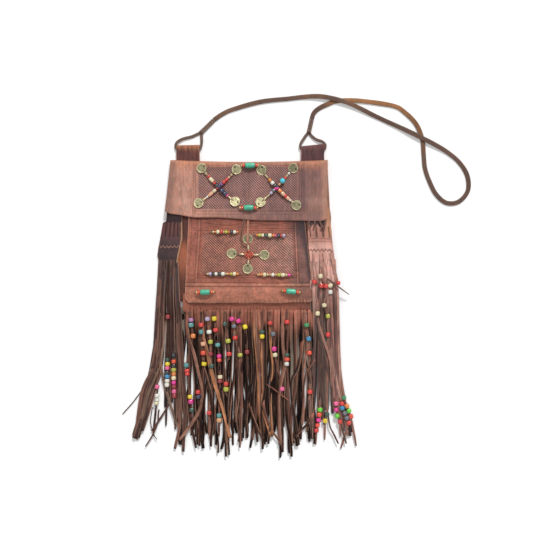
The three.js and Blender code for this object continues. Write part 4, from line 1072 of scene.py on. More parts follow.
def make_tassel(upper_tone, left, right, split, slots, slot_span, lines, tone, fan, keep, seed):
    """The slotted neck, whole down to split, and the strips that fan out below it, with the random source.
    Each row of fan is a share of the neck's width, x at the waist, and x and y of the strips' tips there.
    """
    rng = np.random.default_rng(seed)
    shape = Shape()
    left_at = lambda y: np.interp(y, *np.array(left).T)
    right_at = lambda y: np.interp(y, *np.array(right).T)
    y = np.linspace(split, NECK_TOP, 97)[:, None]
    s = np.linspace(0, 1, 57)[None, :]
    x = lerp(left_at(y), right_at(y), s)
    x = x + 0.8 * ripple(y, 11, seed) * (2 * s - 1) ** 4
    open_slot = np.zeros_like(x)
    for middle, wide in slots:
        share = near(s - middle - 0.012 * ripple(y, 9, seed + 5), 0, wide)
        open_slot = np.maximum(open_slot, share * inside(x, y, -999, 999, *slot_span, 1.0))
    marks = pressed(y + 0.6 * ripple(x, 15, seed + 1), lines, 0.6)
    pucker = noise(x, y * 0.5, 9, seed + 2)
    z = tassel_top(x, y) + 0.5 * pucker - 1.5 * open_slot - 0.4 * marks
    z = z + 0.9 * near(s, 1, 0.05) + 0.5 * near(s, 0, 0.05)
    colour = lit(tone(x, y, s), 0.14 * pucker, 0.1 * noise(x * 3, y * 0.6, 3, seed + 3))
    # Painted shade: the slots are painted near black, the dark seen through them
    colour = tint(colour, paint(24, 17, 16), 0.92 * open_slot)
    colour = tint(colour, colour * 0.45, 0.7 * marks)
    shape.slab(xyz(x, y, z), xyz(x, y, support(x, y)), colour, paint(190, 148, 118), paint(110, 80, 70))
    shares, waists, tips_x, tips_y = np.array(fan).T
    for k in range(TASSEL_STRIPS):
        share = (k + 0.5) / TASSEL_STRIPS
        x0 = float(lerp(left_at(split), right_at(split), share))
        waist, x1, y1 = (np.interp(share, shares, each) for each in (waists, tips_x, tips_y))
        waist, x1, y1 = waist + rng.uniform(-3, 3), x1 + rng.uniform(-4, 4), y1 + rng.uniform(-8, 10)
        upper = rng.uniform() < 0.55
        root = [np.array([each]) for each in (x0, split, min(share, 0.92))]
        start = tone(*root)[0] * rng.uniform(keep, 1.1)
        rest = upper_tone(rng, share) if upper else STRIP_TONES[rng.choice(4, p=[0.3, 0.3, 0.25, 0.15])]
        layer = rng.uniform(1.6, 3.6) if upper else rng.uniform(0, 1.4)
        start = start * (1 if upper else 0.8)
        bend = lerp(x0, waist, 0.55) + rng.uniform(-1.5, 1.5)
        halfway = (lerp(waist, x1, 0.42), lerp(WAIST, y1, 0.5))
        plan = drawn([(x0, split + 3.5), (bend, lerp(split, WAIST, 0.5)), (waist, WAIST), halfway, (x1, y1)])
        strip(shape, plan, ground, layer, rng.uniform(3.4, 5.2), (start, rest), rng, 0.6, None, 0.36, 0.09)
    return shape, rng


# Tones of the upper strips, and of the two necks
def dark_strip(rng, share):
    return STRIP_TONES[rng.choice(7, p=[0.22, 0.22, 0.2, 0.13, 0.1, 0.08, 0.05])] * rng.uniform(0.95, 1.4)


def pink_strip(rng, share):
    if share < 0.46:
        return lerp(paint(112, 78, 71), paint(56, 41, 40), rng.uniform(0, 1))
    return lerp(paint(164, 117, 107), paint(88, 62, 57), rng.uniform(0, 1))


def left_tone(x, y, s):
    base = tint(paint(96, 65, 62), paint(74, 58, 60), ease(-y, -5, 25))
    # Painted shadow: near black at the top, under the flap's hem
    base = tint(base, paint(48, 34, 37), ease(y, 9, 12.5))
    base = tint(base, paint(204, 164, 128), 0.9 * near(s, 0.975, 0.022) * (y < 11.5))
    return lit(base, 0.15 * noise(x, y, 12, 101))


def right_tone(x, y, s):
    base = tint(paint(184, 132, 118), paint(212, 166, 154), ease(-y, 12, 26))
    rightmost = ease(s, 0.76, 0.86) * ease(y, -12, -4)
    # Painted shadow: dark at the top, under the flap's hem, except at the rightmost side
    base = tint(base, paint(62, 43, 44), ease(y + 1.5 * np.sin(x), 4, 8) * (1 - rightmost))
    base = tint(base, paint(204, 150, 114), 0.8 * rightmost)
    return lit(base, 0.12 * noise(x, y, 12, 102))


# Left and right side of each neck, as y and x from the bottom up
LEFT_SIDES = (
    [[-47, -131], [-36, -133], [-10, -129], [11, -124.8], [11.9, -120], [32, -118.6]],
    [[-47, -104], [-29, -99.5], [-12, -96.6], [32, -97]],
)
RIGHT_SIDES = (
    [[-46, 89], [-35, 87.6], [-26, 86.5], [32, 82.5]],
    [[-46, 124.8], [-35, 123], [-11, 120], [32, 116]],
)


def make_left_tassel():
    fan = [
        (0, -139, -167, -300), (0.3, -132, -160, -292), (0.5, -125, -150, -268),
        (0.52, -121, -120, -252), (0.78, -112, -112, -258), (0.8, -108, -104, -300), (1, -99, -97, -312),
    ]
    slots = [(0.22, 0.022), (0.42, 0.02), (0.62, 0.02), (0.8, 0.016)]
    shape, rng = make_tassel(
        dark_strip, *LEFT_SIDES, split=-47, slots=slots, slot_span=(-10.5, 11), lines=[-40.5],
        tone=left_tone, fan=fan, keep=0.6, seed=111,
    )
    zigzag(shape, -131.5, -100.5, -24.8, tassel_top, paint(150, 118, 102), 112)
    thread = [(-128, -120, 8), (-138, -163, 3), (-148.5, -217, 2.4), (-165, -245, 2), (-184.5, -268, 1.2)]
    ribbon(shape, curve_through(thread, 6), 1.5, 0.8, paint(80, 62, 54))
    brown, olive, split = STRIP_TONES[5], paint(118, 96, 82), SPLIT_SIDE_SHADE * 0.75
    # Wide strips laid flat in gaps of the tassel, in the split side's pale tone: painted shade, standing in
    # for the shaded floor seen there
    for width, *points in (
        (8.5, (-98.5, -111), (-97.6, -125), (-97.2, -145), (-98, -186)),
        (7, (-119, -60), (-117, -100), (-116, -140), (-116, -180)),
    ):
        strip(shape, drawn(points), ground, 0, width, (split, split), rng, 0.1, NO_EDGE)
    for width, tone, *points in (
        (5.4, brown, (-126, -120), (-130.5, -181), (-153.3, -229), (-161, -270), (-163, -288)),
        (4.8, STRIP_TONES[3], (-124, -120), (-131, -185), (-150, -232), (-160, -276), (-168.5, -302)),
        (4.4, olive, (-122, -120), (-128, -190), (-146, -236), (-157, -276)),
        (3.8, olive, (-122, -120), (-128, -175), (-124.4, -217), (-118.5, -241), (-107.6, -276),
         (-101, -292)),
        (5.4, brown, (-104, -100), (-103, -163), (-100, -200), (-102, -262), (-101, -285), (-107.6, -318)),
        (6.2, STRIP_TONES[3], (-103, -90), (-99, -150), (-97, -200), (-93, -262), (-95.5, -322)),
        (4.6, STRIP_TONES[5], (-128, -60), (-131, -110), (-134, -160), (-141, -200)),
        (3.0, STRIP_TONES[3], (-112, -246), (-124, -266), (-137, -285), (-142, -292)),
        (2.2, STRIP_TONES[3], (-131.7, -262), (-133, -280), (-140, -298), (-150.4, -314.6)),
        (1.2, STRIP_TONES[2], (-141, -258), (-143, -280), (-138.5, -298), (-134, -305)),
    ):
        strip(shape, drawn(points), ground, rng.uniform(2.6, 4.2), width, (tone * 0.8, tone), rng, 0.5, 0.35)
    return shape.build("left_tassel_leather", "dark", (), "dark_leather")


def make_right_tassel():
    fan = [
        (0, 90, 84, -300), (0.25, 98, 95, -302), (0.45, 105, 109, -280),
        (0.47, 117, 123, -264), (0.75, 124, 138, -284), (1, 131, 152, -302),
    ]
    slots = [(0.1, 0.022), (0.36, 0.034), (0.64, 0.034), (0.9, 0.02)]
    shape, rng = make_tassel(
        pink_strip, *RIGHT_SIDES, split=-46, slots=slots, slot_span=(-11.5, 5), lines=[-13, -17.5],
        tone=right_tone, fan=fan, keep=0.92, seed=121,
    )
    zigzag(shape, 87.5, 121, -29.5, tassel_top, paint(150, 106, 92), 122)
    neck = paint(198, 152, 140)
    pink, tan, split = paint(170, 124, 112), paint(184, 140, 128), SPLIT_SIDE_SHADE * 0.85
    # Wide strips laid flat in the gap in the tassel's middle, in the split side's pale tone: painted shade,
    # standing in for the shaded floor seen there
    for width, end, *points in (
        (9, split, (104, -60), (105, -110), (108, -160), (109, -196)),
        (11, split * 0.8, (108, -180), (110, -210), (111, -240), (112, -262)),
    ):
        strip(shape, drawn(points), ground, 0, width, (split, end), rng, 0.1, NO_EDGE)
    for width, tone, *points in (
        (3.8, pink, (92, -43), (96, -70), (99, -110), (101, -133), (108.6, -159.5), (117, -185), (122, -215),
         (124, -246)),
        (4.0, tan, (108, -43), (112, -75), (114.5, -110), (116, -156.6), (120.4, -184), (129.3, -232),
         (134, -248)),
        (5.2, pink * 0.9, (103, -43), (106, -62), (113, -92), (119, -117.5), (121, -143), (122, -180),
         (124, -215)),
        (4.4, tan * 0.92, (120, -43), (127, -80), (129.5, -126), (130.6, -168), (132, -205), (131, -240)),
        (4.2, STRIP_TONES[4], (104, -60), (108, -100), (104, -150), (112, -190), (118, -222), (120, -250)),
        (4.0, STRIP_TONES[2], (94, -100), (101, -150), (108, -178), (104, -214), (108, -256)),
        (4.4, STRIP_TONES[4], (97, -43), (100, -80), (97, -130), (94, -180), (88, -230), (86, -280)),
        (2.6, STRIP_TONES[3], (114, -262), (117, -284), (124, -298), (130, -310)),
        (3.0, STRIP_TONES[2], (134, -284), (138, -300), (141, -310)),
    ):
        start = neck if points[0][1] > -50 else tone
        tones = (start, tone * 0.85)
        strip(shape, drawn(points), ground, rng.uniform(2.8, 4.4), width, tones, rng, 0.45, 0.35, 0.3, 0.08)
    for x0, x1 in ((86, 84.5), (95, 93), (102, 104), (110, 108)):
        z = float(flap_top(x0, 12.0)) - 1.4
        line = [(x0, 20, z - 0.6), (x0 + 0.4, 12, z + 0.3), (x1 + 1, 5, z + 0.5), (x1, -1, z - 0.4)]
        ribbon(shape, curve_through(line, 5), 2.2, 1.0, paint(104, 68, 62), 0.25)
    lace = curve_through([(112.7, -71, 17.5), (121, -76, 17), (133, -85, 13.5), (145, -93.5, 9)], 6)
    ribbon(shape, lace, np.linspace(3.4, 1.2, len(lace)), 1.2, paint(98, 74, 64))
    return shape.build("right_tassel_leather", "body", (), "tassel_leather")


left_tassel = make_left_tassel()
right_tassel = make_right_tassel()

# Bead colours
BEAD = {name: paint(*rgb) for name, rgb in (
    ("red", (214, 52, 44)), ("deep_red", (140, 28, 34)), ("orange_red", (226, 78, 50)),
    ("orange", (226, 132, 62)), ("yellow", (236, 208, 36)), ("olive", (182, 182, 66)),
    ("green", (60, 138, 84)), ("lime", (98, 206, 46)), ("deep_green", (38, 72, 58)),
    ("teal", (86, 148, 146)), ("blue", (48, 138, 184)), ("navy", (38, 44, 74)),
    ("purple", (120, 70, 130)), ("lilac", (184, 168, 196)), ("orchid", (190, 128, 178)),
    ("magenta", (224, 48, 142)), ("pink", (232, 98, 148)), ("tan", (204, 154, 106)),
    ("peach", (232, 176, 140)), ("cream", (232, 218, 178)), ("white", (230, 228, 216)),
    ("grey", (104, 110, 118)), ("black", (30, 28, 32)), ("gold", (190, 172, 138)),
    ("cyan", (70, 196, 214)),
)}
THREAD = paint(120, 92, 66)


# Beaded thongs: a strip that rises where a bead is threaded on it
def strand(leather_shape, bead_shape, root, beads, end, surface, rng, tones, radius=3.95, wide=4.0):
    places = [root, *((x, y) for x, y, _ in beads), end]
    xs, ys = np.array(places, float).T
    stretches = [np.linspace(a, b, 9, endpoint=False) for a, b in zip(ys[:-1], ys[1:])]
    y = np.concatenate([*stretches, ys[-1:]])
    x = np.interp(y, ys[::-1], xs[::-1])
    raised = np.zeros_like(y)
    for _, by, _ in beads:
        raised = np.maximum(raised, 1 - ease(np.abs(y - by), 3, 15))
    lying, threaded = surface(x, y) + 0.5, surface(x, y) + GAP + radius - 0.6
    line = xyz(x, y, lerp(lying, threaded, raised))
    fade = (1 - 0.35 * ease(y, end[1] + 12, end[1])) * (1 - 0.35 * raised)
    shade = lit(tint(*tones, ease(-y, 48, 76)), 0.25 * noise(y, x, 9, int(rng.integers(1, 999))))
    ribbon(leather_shape, line, wide * fade, 1.2, shade, 0, rng.uniform(0.2, 0.55))
    for k, (bx, by, colour) in enumerate(beads):
        before, after = places[k], places[k + 2]
        along = np.array([after[0] - before[0], after[1] - before[1], 0.0])
        size = radius * rng.uniform(0.88, 1.04)
        room = min(np.hypot(bx - px, by - py) for px, py in places[k : k + 3 : 2])
        length = min(6.5 * rng.uniform(0.9, 1.05), 0.98 * room)
        z = float(surface(bx, by)) + GAP + radius
        bead(bead_shape, (bx, by, z), along, size, length, BEAD[colour] * rng.uniform(0.85, 1.05))


# Where each thong starts and ends, and its beads from the top down with their colours
STRANDS = [
    [(-85.6, -118), (-84, -296),
     (-84.1, -130.5, "orchid"), (-84.1, -137.8, "teal"), (-81.2, -153.7, "orange"), (-91, -196, "teal"),
     (-90, -204, "red"), (-89.6, -209, "red"), (-85.6, -242, "yellow"), (-84.5, -249, "magenta"),
     (-83, -261, "deep_green")],
    [(-69.6, -118), (-71, -300),
     (-69.6, -137.8, "red"), (-69.6, -147.9, "teal"), (-66.7, -165.3, "peach"),
     (-66.7, -178.4, "orange_red"), (-65.3, -194.3, "yellow"), (-74, -235, "red"), (-73.5, -242, "navy")],
    [(-60.9, -118), (-57, -304),
     (-60.5, -129, "lilac"), (-58, -147.9, "white"), (-56, -162.4, "olive"), (-56, -179.8, "deep_red"),
     (-54.5, -197.2, "deep_green"), (-58, -265.4, "red")],
    [(-50.5, -118), (-44, -300),
     (-50.5, -128.5, "yellow"), (-48.5, -145, "red"), (-45.5, -166.8, "teal"), (-43.5, -183, "magenta"),
     (-43.2, -188.8, "orange_red"), (-42, -213.2, "cream"), (-42, -219.2, "deep_red"), (-43.5, -269, "teal"),
     (-43.5, -276, "tan")],
    [(-34.8, -118), (-31, -292),
     (-34.8, -136.3, "deep_green"), (-30.5, -161, "olive"), (-29, -179.8, "red"), (-33.4, -223.3, "red"),
     (-33.4, -231, "olive")],
    [(-25, -118), (-19, -280),
     (-25, -129, "magenta"), (-22, -139.5, "grey"), (-20.3, -156.6, "red"), (-13, -181.3, "olive")],
    [(-13, -118), (-4, -288),
     (-15.5, -132, "magenta"), (-5.8, -140.5, "yellow"), (-2.9, -176.9, "deep_red")],
    [(18.9, -118), (22, -296),
     (18.9, -147.9, "deep_green"), (18.9, -154.5, "yellow")],
    [(30.5, -118), (45, -298),
     (30.5, -134.9, "red"), (34.8, -150.8, "grey"), (36.3, -172.6, "magenta"), (37.7, -181.3, "cream"),
     (47.9, -230.6, "pink")],
    [(55.1, -118), (60, -301),
     (55.1, -133.4, "red"), (55.1, -181.3, "deep_green"), (55.1, -187.6, "orange_red"),
     (54.6, -194.3, "white")],
    [(82, -118), (85, -290),
     (83.5, -137.8, "green"), (86.5, -158, "blue"), (87.5, -178.4, "orange_red"), (88.5, -234.9, "red")],
]
LEFT_STRANDS = [
    [(-116, -44), (-121, -285),
     (-118, -126, "deep_red"), (-118.9, -188.5, "deep_green"), (-118.5, -194.5, "yellow"),
     (-118.9, -200.4, "pink"), (-118.9, -207, "black"), (-118.9, -212.6, "blue"), (-119, -219, "white"),
     (-119.4, -225, "white")],
    [(-110, -44), (-107.5, -290),
     (-109.5, -181.5, "black"), (-109.5, -191, "orange_red"), (-109.5, -197, "black"),
     (-109.5, -203, "olive"), (-109.5, -209, "orange"), (-109.5, -215, "cream"), (-109.3, -221.5, "magenta"),
     (-109, -227.5, "deep_red"), (-109, -234.5, "pink"), (-108.5, -241, "deep_red")],
    [(-124, -44), (-140, -300),
     (-133.4, -227.7, "pink"), (-133.4, -240.5, "white"), (-133.4, -246.5, "white"),
     (-134.5, -251.5, "cream")],
]
RIGHT_STRANDS = [
    [(93, -33), (97, -312),
     (94.3, -75.4, "red"), (104.4, -81, "red"), (99.5, -121, "cream"), (103, -261, "lime"),
     (102, -268, "orange_red"), (101, -276, "magenta"), (99.5, -283.5, "orange_red"), (98, -291, "red")],
    [(104, -33), (110, -305),
     (103, -67, "cream"), (111, -81.5, "red"), (108.8, -109, "cream"), (114.6, -125, "olive"),
     (114.6, -152, "red"), (113.1, -268, "deep_green"), (110.5, -277, "yellow")],
    [(118, -33), (133, -300),
     (129, -76.9, "red"), (117.5, -80.5, "cream"), (117.5, -90, "white"), (126.5, -252, "pink"),
     (126.3, -261, "magenta"), (127.8, -270, "lime"), (132, -278.5, "red")],
    [(121, -33), (133.5, -318),
     (134.9, -252, "red"), (135.2, -258.5, "blue"), (139, -266, "grey"), (142, -273, "grey"),
     (145, -280, "red")],
    [(108, -33), (156, -314),
     (137.8, -243.6, "green"), (142, -255.5, "orange"), (145, -262.5, "lime"), (148, -270.5, "orange_red")],
]
RIGHT_THONG_TONES = (paint(196, 150, 138), paint(146, 104, 92))


def make_strands():
    rng = np.random.default_rng(131)
    names = ["beaded_thong_%d" % (k + 1) for k in range(len(STRANDS))]
    leather_shape, bead_shape = Shape(), Shape()
    for root, end, *beads in STRANDS:
        tone = STRIP_TONES[rng.choice([3, 5, 5, 6])]
        strand(leather_shape, bead_shape, root, beads, end, fringe_top, rng, (tone, tone))
    leather_shape.build("hanging_thongs", "suede", names, "fringe_leather")
    bead_shape.build("hanging_beads", "bead", (), "red_beads")
    on_tassel = lambda x, y: tassel_top(x, y) + 0.6
    for side, rows, piece in (("left", LEFT_STRANDS, left_tassel), ("right", RIGHT_STRANDS, right_tassel)):
        leather_shape, bead_shape = Shape(), Shape()
        for root, end, *beads in rows:
            tones = RIGHT_THONG_TONES if side == "right" else [STRIP_TONES[rng.choice([2, 3, 4])]] * 2
            strand(leather_shape, bead_shape, root, beads, end, on_tassel, rng, tones, 3.7, 3.2)
        leather_shape.build(side + "_tassel_thongs", "suede", [side + "_tassel"], "tassel_leather")
        bead_shape.build(side + "_tassel_beads", "bead", (), "red_beads")
        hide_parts(side + "_tassel")


make_strands()


# Coins: a rim, a worn field with a plain rosette, and a small hole near the edge
def surface_normal(surface, x, y):
    slope_x = float(surface(x + 3, y) - surface(x - 3, y)) / 6
    slope_y = float(surface(x, y + 3) - surface(x, y - 3)) / 6
    normal = np.array([-slope_x, -slope_y, 1.0])
    return normal / np.linalg.norm(normal)


# Section of a coin from its edge to its middle, before it is scaled down a little
COIN_RADII = [7.5, 7.5, 7.35, 7.05, 6.6, 6.35, 5.8, 5.2, 4.6, 4.0, 3.3, 2.6, 1.9, 1.2, 0.5]
COIN_HEIGHTS = [0, 0.95, 1.25, 1.35, 1.3, 1.0, 0.95, 1.08, 1.12, 0.95, 0.98, 1.06, 1.0, 1.08, 1.1]


def coin(shape, surface, place, hole_turn, tone, seed):
    rng = np.random.default_rng(seed)
    normal = surface_normal(surface, *place)
    side = np.cross((0, 1.0, 0), normal)
    side /= np.linalg.norm(side)
    ahead = np.cross(normal, side)
    r = 0.95 * np.array(COIN_RADII)[:, None]
    a = np.linspace(0, 2 * np.pi, 44, endpoint=False)[None, :]
    worn = 1 + 0.018 * np.sin(3 * a + rng.uniform(0, 6)) + 0.012 * np.sin(7 * a + rng.uniform(0, 6))
    x, y = r * np.cos(a) * worn, r * np.sin(a) * worn
    z = np.array(COIN_HEIGHTS)[:, None]
    petals = 0.08 * np.cos(6 * a + rng.uniform(0, 6)) * near(r, 3.9, 1.3)
    beading = 0.06 * np.cos(22 * a) * near(r, 5.8, 0.35)
    dents = 0.06 * noise(x + 50 * seed, y, 2.2, seed) * (r < 6.4)
    z = z + petals + beading + dents
    hole = near(np.hypot(x - 4.1 * np.cos(hole_turn), y - 4.1 * np.sin(hole_turn)), 0, 0.95)
    z = z - 0.9 * hole * (r < 6.4)
    relief = clamp((z - 0.88) / 0.4)
    worn_patch = 0.5 + 0.5 * noise(x + 20 * seed, y, 4.5, seed + 60)
    raised = clamp(near(r, 6.7, 0.55) + 0.45 * relief + 0.25 * (worn_patch - 0.5) + 0.1)
    colour = tint(paint(112, 106, 80) * tone, paint(204, 194, 156), raised)
    # Painted shade: the hole, only a hollow here, is painted near black
    colour = tint(colour, paint(26, 22, 16), clamp(1.3 * hole))
    base = np.array([place[0], place[1], float(surface(*place))]) + normal * 0.55
    points = base + x[..., None] * side + y[..., None] * ahead + z[..., None] * normal
    shape.tube(points, colour * tone**0.5)


KNOT = (0.4, -36.3)

# Each coin: its place, the direction of its hole, and how bright it is
FLAP_COINS = [
    ((-68.3, 89), 0.6, 0.85), ((-17.8, 87), 2.2, 1.05), ((18.1, 86), 1.4, 0.7), ((63.9, 89), -0.4, 0.55),
    ((-72.1, 38), -2.0, 1.1), ((-19.9, 40), -0.3, 1.35), ((16.8, 39), 3.9, 1.2), ((68.2, 35), 0.1, 0.65),
]
PANEL_COINS = [
    ((-1.6, -13.3), -1.8, 0.7), ((-24.6, -34.3), -0.2, 1.0),
    ((22.4, -36.3), 0.3, 1.0), ((-1.6, -56.3), 1.5, 0.95),
]


def make_coins():
    groups = ("flap_coin_", flap_top, FLAP_COINS), ("panel_coin_", panel_top, PANEL_COINS)
    for prefix, surface, coins in groups:
        for k, (place, hole, tone) in enumerate(coins):
            shape = Shape()
            coin(shape, surface, place, hole, tone, 141 + k + len(prefix))
            shape.build(prefix + "disc_%d" % (k + 1), "brass", [prefix + str(k + 1)], "coin_metal")


make_coins()


# Small beads and links along a straight or sagging thread. Each is a colour, a radius and a length in mm.
def bead_line(name, start, end, surface, beads, bridge, node, margin, slot, radius, sag=0.0):
    shape, metal = Shape(), Shape()
    start, end = np.array(start, float), np.array(end, float)
    span = np.linalg.norm(end - start)
    along = (end - start) / span
    total = sum(length for _, _, length in beads)
    stretch = min((span - 2 * margin) / total, 1.25)
    at = (span - total * stretch) / 2

    def place(s, above):
        u = s / span
        x, y = start + along * s - np.array([0, 4 * sag * u * (1 - u)])
        return np.array([x, y, float(surface(x, y)) + 0.45 + bridge(s) + above])

    for k, (colour, size, length) in enumerate(beads):
        length = length * stretch
        middle = at + length / 2
        way = place(middle + 1, 0) - place(middle - 1, 0)
        way[2] = 0
        link = colour == "gold" and size < 2
        if link and sag and k in (0, len(beads) - 1):
            profile = LUG
            way = way if k == 0 else -way
        else:
            profile = BALL if colour == "cyan" else BARREL
        target = metal if link else shape
        bead(target, place(middle, min(size, radius)), way, size, length * 0.97, BEAD[colour], profile)
        at += length
    s = np.linspace(margin - 4.5, span - margin + 4.5, 40)
    cord_round(shape, np.array([place(each, 1.3) for each in s]), 0.55, THREAD)
    shape.build(name, "bead", [node], slot)
    if metal.count:
        metal.build(name + "_links", "brass", (), "coin_metal")


def crossing_bridge(start, end, other, over):
    """How far a string rises along its way, to pass over the one that it crosses"""
    a, b = np.array(start, float), np.array(end, float)
    c, d = np.array(other[0], float), np.array(other[1], float)
    across = (b - a)[0] * (d - c)[1] - (b - a)[1] * (d - c)[0]
    share = ((c - a)[0] * (d - c)[1] - (c - a)[1] * (d - c)[0]) / across
    s0 = share * np.linalg.norm(b - a)
    return lambda s: (1.6 if over else 0.0) * (1 - float(ease(abs(s - s0), 5, 14)))


LEFT_UNDER = [
    ("gold", 1.3, 5), ("red", 2.4, 3.4), ("cream", 3.1, 7.5), ("red", 2.8, 3.6), ("black", 3.6, 5.6),
    ("deep_red", 2.8, 3.4), ("navy", 3.7, 6.4), ("navy", 3.4, 5), ("pink", 2.3, 3), ("gold", 1.3, 6),
]
LEFT_OVER = [
    ("gold", 1.3, 4), ("peach", 1.8, 3), ("red", 2.8, 4), ("red", 2.8, 4), ("purple", 3.0, 3.6),
    ("navy", 3.0, 3.6), ("deep_red", 2.7, 3.2), ("cream", 2.8, 4.4), ("peach", 2.8, 7.5),
    ("white", 1.9, 2.6), ("gold", 1.4, 6),
]
RIGHT_UNDER = [
    ("gold", 1.3, 7), ("orange", 2.7, 4.6), ("white", 3.6, 5), ("black", 3.6, 4.6), ("magenta", 3.2, 4),
    ("orange", 3.0, 5.4), ("peach", 3.2, 6.4), ("red", 2.8, 3.4), ("peach", 3.0, 5), ("white", 2.0, 2.8),
    ("gold", 1.3, 3.5),
]
RIGHT_OVER = [
    ("white", 2.0, 3), ("gold", 1.4, 3.4), ("orange_red", 2.3, 3), ("cyan", 4.0, 7.2), ("tan", 2.0, 3.6),
    ("black", 2.4, 4), ("magenta", 2.4, 3), ("grey", 2.9, 4), ("lilac", 2.8, 4), ("gold", 1.4, 5),
    ("gold", 1.5, 6),
]


def make_cross_strings():
    """Two crossings on the flap, each string from one coin to another"""
    for name, ends, beads, other_ends, over, node, slot in (
        ("left_string_lower", (0, 5), LEFT_UNDER, (1, 4), False, "left_string_under", "red_beads"),
        ("left_string_upper", (1, 4), LEFT_OVER, (0, 5), True, "left_string_over", "cream_beads"),
        ("right_string_lower", (2, 7), RIGHT_UNDER, (3, 6), False, "right_string_under", "cream_beads"),
        ("right_string_upper", (3, 6), RIGHT_OVER, (2, 7), True, "right_string_over", "red_beads"),
    ):
        start, end = (FLAP_COINS[k][0] for k in ends)
        bridge = crossing_bridge(start, end, [FLAP_COINS[k][0] for k in other_ends], over)
        beads = [(c, r * (0.86 if r > 1.6 and c != "cyan" else 1), length) for c, r, length in beads]
        bead_line(name, start, end, flap_top, beads, bridge, node, 7.2, slot, 3.8, 3.0)


make_cross_strings()


def make_rows():
    """Four rows of beads on the panel, each bead as large as its kind"""
    flat = lambda s: 0.0
    rows = [
        ("upper_left_beads", (-54, -3.2), (-13.5, -3.6), "upper_left_row", "red_beads",
         "gold orange cream red tan olive orange black white orange"),
        ("upper_right_beads", (9, -8), (54, -8.8), "upper_right_row", "cream_beads",
         "orange olive cream deep_green cream orange pink black orange_red lilac"),
        ("lower_left_beads", (-62, -63.7), (-13, -63.7), "lower_left_row", "cream_beads",
         "gold lilac black white black white gold tan orange olive cream orange"),
        ("lower_right_beads", (10.5, -64.5), (62, -65.4), "lower_right_row", "red_beads",
         "tan orange cream gold tan white tan olive cream gold magenta"),
    ]
    rng = np.random.default_rng(145)
    sizes = {
        "cream": 2.9, "red": 2.8, "black": 2.9, "white": 2.8,
        "lilac": 2.6, "olive": 2.6, "deep_green": 2.8, "magenta": 2.7,
    }
    for name, start, end, node, slot, kinds in rows:
        colours = kinds.split()
        radii = [sizes.get(c, 2.0) * rng.uniform(0.85, 1.06) for c in colours]
        beads = [(c, r, rng.uniform(1.4, 1.9) * r) for c, r in zip(colours, radii)]
        bead_line(name, start, end, panel_top, beads, flat, node, 1.5, slot, 3.1)


make_rows()

# Half of the stone's section, mirrored for the other half
HALF_STONE = [(-0.5, 0.2), (-0.5, 0.68), (-0.47, 0.82), (-0.4, 0.93), (-0.28, 0.99)]
STONE = [*HALF_STONE, (0, 1.02), *((-s, r) for s, r in HALF_STONE[::-1])]


# Turquoise barrels, each between a red and a gold bead
def make_turquoises():
    for name, surface, (x, y), tilt in (
        ("top_turquoise", flap_top, (1.8, 92.4), 0.0),
        ("hem_turquoise", flap_top, (0, 31.2), 0.0),
        ("left_turquoise", panel_top, (-63, -90), 0.03),
        ("right_turquoise", panel_top, (60.9, -89), -0.1),
    ):
        along = np.array([np.cos(tilt), np.sin(tilt), 0.0])
        centre = np.array([x, y, float(surface(x, y)) + 0.55 + 4])
        stone, sides, metal = Shape(), Shape(), Shape()
        bead(stone, centre, along, 4.0, 14.0, paint(76, 186, 150), STONE, 24)
        for side in (-1, 1):
            bead(sides, centre + along * side * 9.2, along, 2.4, 3.8, BEAD["orange_red"])
            bead(metal, centre + along * side * 12.3, along, 1.6, 2.2, paint(206, 180, 118))
            end = centre + along * side * 15.2
            end[2] = float(surface(end[0], end[1])) + 0.4
            thread = [centre + along * side * 6.5, centre + along * side * 13, end]
            cord_round(sides, thread, 0.5, paint(110, 80, 58))
        stone.build(name + "_stone", "turquoise", [name], "turquoise")
        sides.build(name + "_beads", "bead", [name + "_thread"], "red_beads")
        metal.build(name + "_caps", "brass", (), "coin_metal")


make_turquoises()


# Knot of small beads in the middle of the panel, with a link out to each coin
def make_knot():
    shape, metal = Shape(), Shape()
    height = lambda x, y: float(panel_top(x, y)) + GAP
    rng = np.random.default_rng(151)
    for ring, count in ((0.0, 1), (2.3, 6), (4.5, 11)):
        for k in range(count):
            turn = 2 * np.pi * k / count + ring
            x, y = KNOT[0] + 1.15 * ring * np.cos(turn), KNOT[1] + 0.8 * ring * np.sin(turn)
            tone = paint(196, 84, 58) * rng.uniform(0.75, 1.15)
            way = (np.cos(turn + 1.5), np.sin(turn + 1.5), 0)
            bead(shape, (x, y, height(x, y) + 2.6 - 0.28 * ring), way, 1.35, 2.2, tone, sides=10)
    for (cx, cy), _, _ in PANEL_COINS:
        way = np.array([cx - KNOT[0], cy - KNOT[1]])
        span = np.linalg.norm(way)
        way /= span
        links = (5.6, 2.0, 2.6, paint(200, 92, 60)), (10.6, 1.4, 7.2, paint(196, 180, 148))
        for s, size, length, tone in links:
            x, y = KNOT[0] + way[0] * s, KNOT[1] + way[1] * s
            target = metal if size < 1.8 else shape
            bead(target, (x, y, height(x, y) + 2.1), (*way, 0), size, length, tone, sides=10)
        s = np.linspace(3, span - 5, 8)
        x, y = KNOT[0] + way[0] * s, KNOT[1] + way[1] * s
        cord_round(shape, xyz(x, y, panel_top(x, y) + 2.2), 0.5, THREAD)
    shape.build("knot_beads", "bead", ["centre_knot"], "red_beads")
    metal.build("knot_links", "brass", (), "coin_metal")


make_knot()


